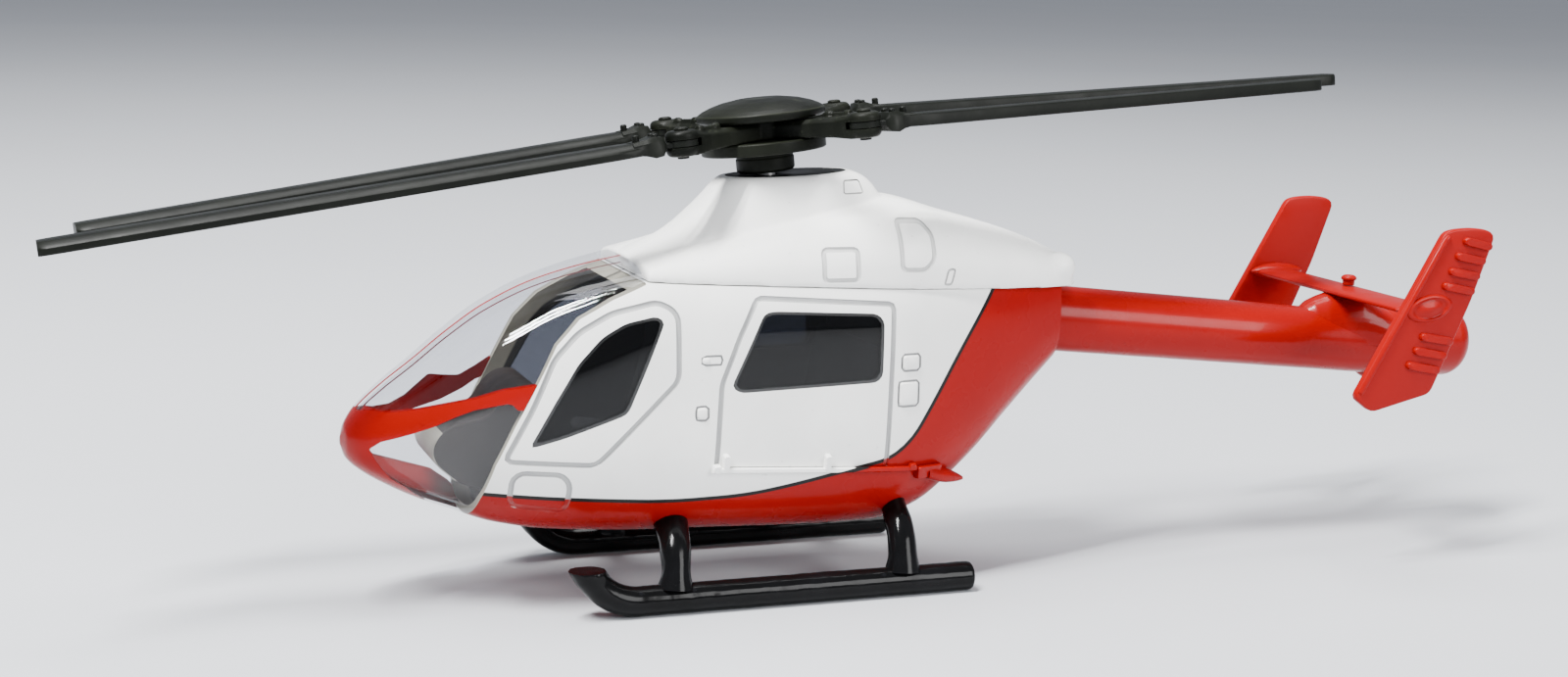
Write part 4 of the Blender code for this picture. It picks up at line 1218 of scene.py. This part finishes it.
def make_saddle():
    """The fairing that carries the stabiliser and runs back into the drum."""
    base = 38.0
    shape = (
        (-96.6, 2.4, 44.4), (-97.6, 3.2, 45.4), (-99.2, 4.2, 46.5), (-101.4, 4.9, 47.3),
        (-104.5, 5.4, STAB_Z),
        (-108.6, 5.9, STAB_Z), (-111.0, 6.3, 46.9), (-113.0, 6.7, 45.6), (-115.5, 6.8, 44.8),
    )
    rings = []
    for x, half, top in shape:
        angles = [math.pi * k / 24 for k in range(25)]
        rings.append([(x, half * math.cos(a), base + (top - base) * math.sin(a) ** 0.6) for a in angles])
    saddle = cast(put(loft(rings), "saddle_block", RED_PAINT), 0.2, 6)
    piece(smooth(saddle, 50), "fuselage", ["stabiliser_saddle"])


def stabiliser_section(count=18):
    """A rounded wing section as (x, z) points, once round from its front point."""
    points = []
    for i in range(2 * count):
        angle = math.pi * i / count
        x = STAB_FRONT_X - STAB_CHORD * (1 - math.cos(angle)) / 2
        share = (STAB_FRONT_X - x) / STAB_CHORD
        half = STAB_T / 2 * (1.48 * math.sqrt(max(share, 0)) * (1 - share) ** 0.62 + 0.12)
        if i % count == 0:
            half = 0.0
        points.append((x, STAB_Z + math.copysign(half, math.sin(angle))))
    return points


def make_stabiliser():
    reach = FIN_Y - FIN_T / 2 - SEAM
    bar = slab(stabiliser_section(), -reach, reach)
    spindles = []
    for side in (1, -1):
        rings = []
        for i in range(21):
            t = i / 20
            swell = math.sin(math.pi * t) ** 0.6 if 0 < i < 20 else 0.06
            x = -101.4 - 12.0 * t
            y, z = side * (reach - 0.6), STAB_Z + 0.2
            rings.append([(x, y + 2.6 * swell * c, z + 1.6 * swell * s) for c, s in circle(24)])
        spindle = put(loft(rings), f"root_{side}", RED_PLASTIC)
        low, high = sorted((side * reach, side * (reach + 6)))
        cut(spindle, "DIFFERENCE", put(box((-120, low, 40), (-90, high, 60)), "trim", RED_PLASTIC))
        spindles.append(spindle)
    made = put(bar, "tail_plane", RED_PLASTIC)
    cut(made, "UNION", *spindles)
    piece(smooth(made, 40), "fuselage", ["stabiliser"])
    top = STAB_Z + STAB_T / 2 - 0.1
    shape = ((0.0, 0.0), (1.15, 0.0), (1.15, 1.0), (1.5, 1.15), (1.5, 1.6), (1.0, 2.0), (0.0, 2.1))
    light = spun(softened(shape, 0.2), 40, Matrix.Translation((TAIL_LIGHT_X, 0, top)))
    whole(light, "beacon", RED_PLASTIC, "fuselage", "tail_light", 50)


def capsule(start, end, radius):
    """The outline of a bar with round ends."""
    start, end = Vector(start), Vector(end)
    along = (end - start).normalized()
    across = Vector((-along.y, along.x))
    points = []
    for middle, base in ((end, -90), (start, 90)):
        for step in range(9):
            angle = math.radians(base + 180 * step / 8)
            points.append(tuple(middle + (along * math.cos(angle) + across * math.sin(angle)) * radius))
    return points


def make_fins():
    """Each fin has a raised leading edge, pressed ribs and an oval boss on its outer face."""
    outline = rounded(FIN, 1.2, 0.8)
    face = FIN_Y + FIN_T / 2
    plate = put(slab(outline, FIN_Y - FIN_T / 2, face), "fin_plate", RED_PLASTIC)
    rounded_edges(plate, 0.35, 3, 60)
    rings = []
    for reach, rise in BOSS_STEPS:
        oval = [(BOSS[0] + reach * c, BOSS[1] + 0.52 * reach * s - 0.1 * reach * c) for c, s in circle(40)]
        rings.append([(x, face + rise, z) for x, z in oval])
    details = [loft(rings)]
    for start, end in RIBS:
        details.append(pad(capsule(start, end, 0.72), 0.75, lambda x, z: face - 0.02, 0.3))
    path, shares = capped([(x, face - 0.2, z) for x, z in FIN_LEADING_EDGE], 0.6, 0.3)
    details.append(tube(path, 0.6, 16, shares))
    plate_mesh = bmesh.new()
    plate_mesh.from_mesh(plate.data)
    bmesh.ops.scale(plate_mesh, vec=(1 / MM,) * 3, verts=plate_mesh.verts)
    bpy.data.objects.remove(plate)
    fin = joined([plate_mesh, *details])
    for side, sign in SIDES:
        name, node = "end_fin_" + side, "fin_" + side
        whole(copy_of(fin, sign), name, RED_PLASTIC, "fuselage", node, 50)
    fin.free()


# ---------------------------------------------------------------- landing gear


def make_landing_gear():
    for side, sign in SIDES:
        y = sign * TRACK / 2
        points = [(SKID_REAR_X, y, SKID_Z)]
        points += [(x, y, SKID_Z) for x in np.linspace(SKID_REAR_X + 2, SKID_FRONT_X, 40)]
        for i in range(1, 17):
            angle = math.radians(UPTURN) * i / 16
            x = SKID_FRONT_X + UPTURN_R * math.sin(angle)
            points.append((x, y, SKID_Z + UPTURN_R * (1 - math.cos(angle))))
        points.append(tuple(Vector(points[-1]) + (Vector(points[-1]) - Vector(points[-2])).normalized() * 6))
        path, shares = capped(points, SKID_R, 0.7)
        shares[-6:] = [1.03, 1.06, 1.1, 1.14, 1.14, 1.14]
        skid = put(tube(path, SKID_R, 40, shares), "skid_tube_" + side, BLACK)
        ground = put(box((-40, -40, -10), (70, 40, 0.0)), "ground", BLACK)
        above = put(box((-40, -40, TIP_Z), (70, 40, 30)), "above_tip", BLACK)
        cut(skid, "DIFFERENCE", ground, above)
        cast(skid, 0.3, 2)
        lumpy(skid, 0.12, 3.0)
        piece(skid, "fuselage", ["skid_" + side])
        for name, top_x, foot_x, top_z, thickness in LEGS:
            foot = Vector((foot_x, y, SKID_Z + SKID_R * 0.6))
            top = Vector((top_x, sign * LEG_TOP_Y, top_z))
            knee = top.lerp(foot, 0.45) + Vector((0, sign * 1.3, 1.1))
            ankle = top.lerp(foot, 0.78) + Vector((0, sign * 1.0, 0.9))
            start = top + Vector((0, -sign * 1.6, 2.2))
            path, shares = leg_curve([start, top, knee, ankle, foot], thickness)
            leg = put(tube(path, LEG_R, 36, shares), f"{name}_strut_{side}", BLACK)
            lumpy(leg, 0.14, 2.5)
            piece(leg, "fuselage", [f"{name}_leg_{side}"])


def leg_curve(points, thickness, steps=7):
    """A smooth curve through the points, with the thickness carried along it."""
    path, shares = [], []
    for i in range(len(points) - 1):
        p0, p1 = points[max(i - 1, 0)], points[i]
        p2, p3 = points[i + 1], points[min(i + 2, len(points) - 1)]
        for k in range(steps):
            t = k / steps
            path.append(
                0.5 * (2 * p1 + (p2 - p0) * t + (2 * p0 - 5 * p1 + 4 * p2 - p3) * t**2
                       + (3 * p1 - p0 - 3 * p2 + p3) * t**3)
            )
            shares.append(thickness[i] + (thickness[i + 1] - thickness[i]) * t * t * (3 - 2 * t))
    return path + [points[-1]], shares + [thickness[-1]]


# ---------------------------------------------------------------- rotor


def make_mast():
    place = mast_place()
    plate = put(cylinder(8.0, -0.75, -0.05, 72, recess_place()), "mast_cover", ROTOR)
    cut(plate, "DIFFERENCE", put(cylinder(BORE_R, -6, 6, 32, place), "plate_bore", ROTOR))
    piece(rounded_edges(plate, 0.15), "fuselage", ["mast_plate"])
    turned = (
        ("mast_collar", "mast_sleeve", ROTOR, 0.25,
         ((BORE_R, 0.6), (4.7, 0.6), (5.15, 1.0), (5.15, 3.0), (5.0, 3.15), (5.0, 4.2), (BORE_R, 4.2))),
        ("swash_ring", "swash_disc", ROTOR, 0.3,
         ((BORE_R, 4.4), (8.0, 4.4), (8.3, 4.1), (11.0, 4.1), (11.0, 6.1), (10.6, 6.3), (BORE_R, 6.3))),
        ("pivot_pin", "rotor_pin", STEEL, 0.1,
         ((0.0, -10.8), (1.6, -10.8), (1.6, -9.6), (1.1, -9.6), (1.1, -8.4), (1.6, -8.4), (1.6, 9.5),
          (0.0, 9.5))),
        ("hub_dome", "hub_cap", ROTOR, 0.25,
         ((0.0, 9.75), (10.9, 9.75), (11.3, 10.1), (11.35, 11.0), (11.0, 11.3), (10.3, 11.75), (8.9, 12.35),
          (6.9, 12.95), (3.9, 13.45), (0.0, 13.6))),
    )
    for name, node, finish, edge, profile in turned:
        whole(spun(softened(profile, edge), 96, place), name, finish, "rotor", node, 35)
    clip = spun(softened(((1.4, -9.5), (3.4, -9.5), (3.4, -8.5), (1.4, -8.5)), 0.15), 64, place)
    whole(clip, "spring_clip", STEEL, "rotor", "pin_clip", 35)


def arm_place(angle):
    return mast_place() @ Matrix.Rotation(math.radians(angle + CROSS_YAW), 4, "Z")


def make_hub():
    """The hub with four arms. Each arm widens into a fork, with a damper lying along its top."""
    place = mast_place()
    solids = [cylinder(6.2, 6.5, 9.7, 72, place)]
    cuts = []
    bevel = 0.7
    for name, angle, _ in BLADES:
        here = arm_place(angle)
        hinge = here @ Matrix.Translation((HINGE_R, 0, 0))
        beam = loft([
            [(x, -w, low), (x, w, low), (x, w, top - bevel), (x, w - bevel, top), (x, -w + bevel, top),
             (x, -w, top - bevel)]
            for x, w, low, top in (
                (0.5, 4.2, 6.6, 9.5), (8.0, 3.2, 6.5, 9.5), (12.0, 2.5, 6.4, 9.5),
                (HINGE_R - 5.0, 2.2, 6.2, 9.6), (HINGE_R - 2.6, 2.4, 6.0, 9.9),
                (HINGE_R - 0.6, 2.7, 5.9, 10.2),
            )
        ])
        lying = Matrix.Translation((HINGE_R - 8.6, 0.9, 9.9)) @ Matrix.Rotation(math.pi / 2, 4, "Y")
        damper = moved(spun(softened(DAMPER, 0.2), 20), lying)
        solids += [moved(beam, here), moved(damper, here), spun(softened(LUG, 0.6), 48, hinge)]
        cuts.append(put(cylinder(3.3, 7.5, 8.8, 40, hinge), name + "_slot", ROTOR))
        cuts.append(put(cylinder(PIN_HOLE_R, 4, 12, 24, hinge), name + "_hole", ROTOR))
    hub = cast(put(joined(solids), "rotor_hub", ROTOR), 0.2, 3)
    cut(hub, "DIFFERENCE", *cuts, put(cylinder(BORE_R, 5, 11, 32, place), "hub_bore", ROTOR))
    piece(smooth(hub, 40), "rotor", ["hub_cross"])


def blade_place(angle, direction):
    swing = direction - angle - CROSS_YAW
    turned = Matrix.Rotation(math.radians(swing), 4, "Z")
    return arm_place(angle) @ Matrix.Translation((HINGE_R, 0, 0)) @ turned


def blade_ring(x, width, low):
    """A blade section: flat below, chamfered above, with a groove along the top."""
    half, top = BLADE_CHORD / 2 * width, low + BLADE_T
    groove = 0.28 * width
    return [
        (x, y * half, z)
        for y, z in (
            (-0.94, low), (0.94, low), (1.0, low + 0.2), (1.0, low + 1.1), (0.93, low + 1.4),
            (0.62, top - 0.05),
            (0.5, top), (0.36, top), (0.33, top - groove), (0.22, top - groove), (0.19, top),
            (-0.84, top), (-0.95, top - 0.15), (-1.0, top - 0.45), (-1.0, low + 0.2),
        )
    ]


def make_blades():
    fall = math.tan(math.radians(DROOP))
    for name, angle, direction in BLADES:
        place = blade_place(angle, direction)
        base = 8.15 - BLADE_T / 2
        vane = loft([blade_ring(x, width, base - fall * (x - 3.7)) for x, width in BLADE_PLAN])
        root = cylinder(2.7, 7.65, 8.65, 40)
        neck = loft([
            [(x, y * w, 8.1 + z * h) for y, z in NECK_SECTION]
            for x, w, h in NECK
        ])
        bolts = [
            spun(softened(BOLT, 0.1), 24, Matrix.Translation((x, y, 0)))
            for x, y in ((5.0, 1.1), (5.0, -1.1), (8.0, 0.0))
        ]
        made = put(root, "rotor_blade_" + name, BLADE)
        cut(made, "UNION", *[put(bm, f"{name}_{i}", BLADE) for i, bm in enumerate((neck, vane, *bolts))])
        cut(made, "DIFFERENCE", put(cylinder(PIN_HOLE_R, 5, 12, 24), "root_hole", BLADE))
        made.data.transform(scaled(place))
        piece(smooth(made, 35), "blade_" + name, ["blade_" + name])
        pin = spun(softened(FOLD_PIN, 0.1), 40, place)
        whole(pin, "fold_pin_" + name, ROTOR, "rotor", "hinge_pin_" + name, 40)


def scaled(matrix):
    result = matrix.copy()
    result.translation *= MM
    return result


# ---------------------------------------------------------------- scene


def set_camera():
    yaw, pitch, roll = (math.radians(angle) for angle in (YAW, PITCH, ROLL))
    ahead = Vector((-math.sin(yaw), -math.cos(yaw), 0))
    right = Vector((-math.cos(yaw), math.sin(yaw), 0))
    up = Vector((0, 0, 1))
    look = math.cos(pitch) * ahead - math.sin(pitch) * up
    above = math.sin(pitch) * ahead + math.cos(pitch) * up
    x_axis = math.cos(roll) * right + math.sin(roll) * above
    y_axis = math.cos(roll) * above - math.sin(roll) * right
    camera = bpy.data.objects.new("camera", bpy.data.cameras.new("camera"))
    camera.data.lens = LENS
    camera.data.sensor_width = 36.0
    camera.data.shift_y = SHIFT_Y
    camera.data.clip_start = 0.001
    bpy.context.scene.collection.objects.link(camera)
    turn = Matrix((x_axis, y_axis, -look)).transposed().to_4x4()
    camera.matrix_world = Matrix.Translation(CAMERA_AT) @ turn
    bpy.context.scene.camera = camera


def softbox(name, at, size, watts, along):
    """A long light that points at the model, with its length along the given direction."""
    light = bpy.data.lights.new(name, "AREA")
    light.shape = "RECTANGLE"
    light.size, light.size_y = size
    light.energy = watts
    obj = bpy.data.objects.new(name, light)
    bpy.context.scene.collection.objects.link(obj)
    back = (Vector(at) - Vector((0.0, 0.0, 0.04))).normalized()
    long = (Vector(along) - back * back.dot(Vector(along))).normalized()
    turn = Matrix((long, back.cross(long), back)).transposed().to_4x4()
    obj.matrix_world = Matrix.Translation(at) @ turn


def make_studio():
    world = bpy.data.worlds.new("studio")
    bpy.context.scene.world = world
    world.use_nodes = True
    background = world.node_tree.nodes["Background"]
    background.inputs["Color"].default_value = (0.86, 0.9, 1.0, 1.0)
    background.inputs["Strength"].default_value = 0.5
    floor = put(box((-9000, -9000, -20.0), (9000, 9000, -0.1)), "studio_floor", make_floor_finish())
    softbox("ceiling_near", (0.42, 0.23, 0.93), (0.45, 0.035), 18.0, (0.35, 0.17, 0.0))
    softbox("ceiling_far", (0.4, 0.13, 0.95), (0.45, 0.035), 18.0, (0.35, 0.17, 0.0))
    softbox("ceiling_wide", (-0.1, -0.3, 1.4), (0.9, 0.7), 24.0, (1.0, 0.0, 0.0))
    softbox("side_window", (-1.2, 1.9, 1.1), (1.2, 1.2), 65.0, (1.0, 0.0, 0.0))


for old in list(bpy.data.objects):
    bpy.data.objects.remove(old)
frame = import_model()

WHITE_PAINT = paint("white_paint", WHITE, WHITE_SHADE)
RED_PAINT = paint("red_paint", RED, RED_SHADE)
RED_PLASTIC = moulded("red_plastic", RED, tuple(v * 1.06 for v in RED), 0.34, 800.0, 0.08, 0.05, 0.1)
BODY_PAINT = make_body_paint()
CANOPY = make_canopy_plastic()
WINDOW = make_window_plastic()
LINER = make_liner()
PALE = moulded("pale_cabin_plastic", KHAKI, (0.4, 0.38, 0.31), 0.55, 900.0, 0.1)
SEAT_PLASTIC = moulded("seat_plastic", (0.1, 0.095, 0.08), (0.14, 0.13, 0.11), 0.5, 900.0, 0.1)
CABIN = moulded("cabin_plastic", (0.012, 0.008, 0.006), (0.02, 0.013, 0.01), 0.5, 900.0, 0.1, 0.0, 0.15)
BLACK_EDGE = moulded("black_edge", (0.005, 0.005, 0.005), (0.01, 0.01, 0.01), 0.45, 900.0, 0.05)
# The grooves' grey is painted shade and dirt.
GROOVE = make_groove_shade_and_dirt()
# Painted shade: grey on the faces of the lines cut into the white cowling.
COWL_GROOVE_SHADE = moulded("cowl_groove_shade", (0.5, 0.5, 0.49), (0.56, 0.56, 0.55), 0.5, 900.0, 0.05)
BLACK = moulded(
    "black_gloss_plastic", (0.002, 0.002, 0.002), (0.005, 0.005, 0.006), 0.14, 350.0, 0.1, 0.0, 0.11
)
ROTOR = moulded("rotor_plastic", (0.003, 0.0035, 0.0025), (0.012, 0.0135, 0.009), 0.42, 900.0, 0.2, 0.0, 0.07)
BLADE = moulded("blade_plastic", (0.003, 0.0035, 0.0028), (0.008, 0.009, 0.007), 0.4, 700.0, 0.14, 0.0, 0.08)
STEEL = make_steel()

make_body()
make_belly()
make_canopy()
make_panes()
make_side_fittings()
make_rails()
make_cowling()
make_cabin()
make_tail()
make_landing_gear()
make_mast()
make_hub()
make_blades()
make_studio()
set_camera()
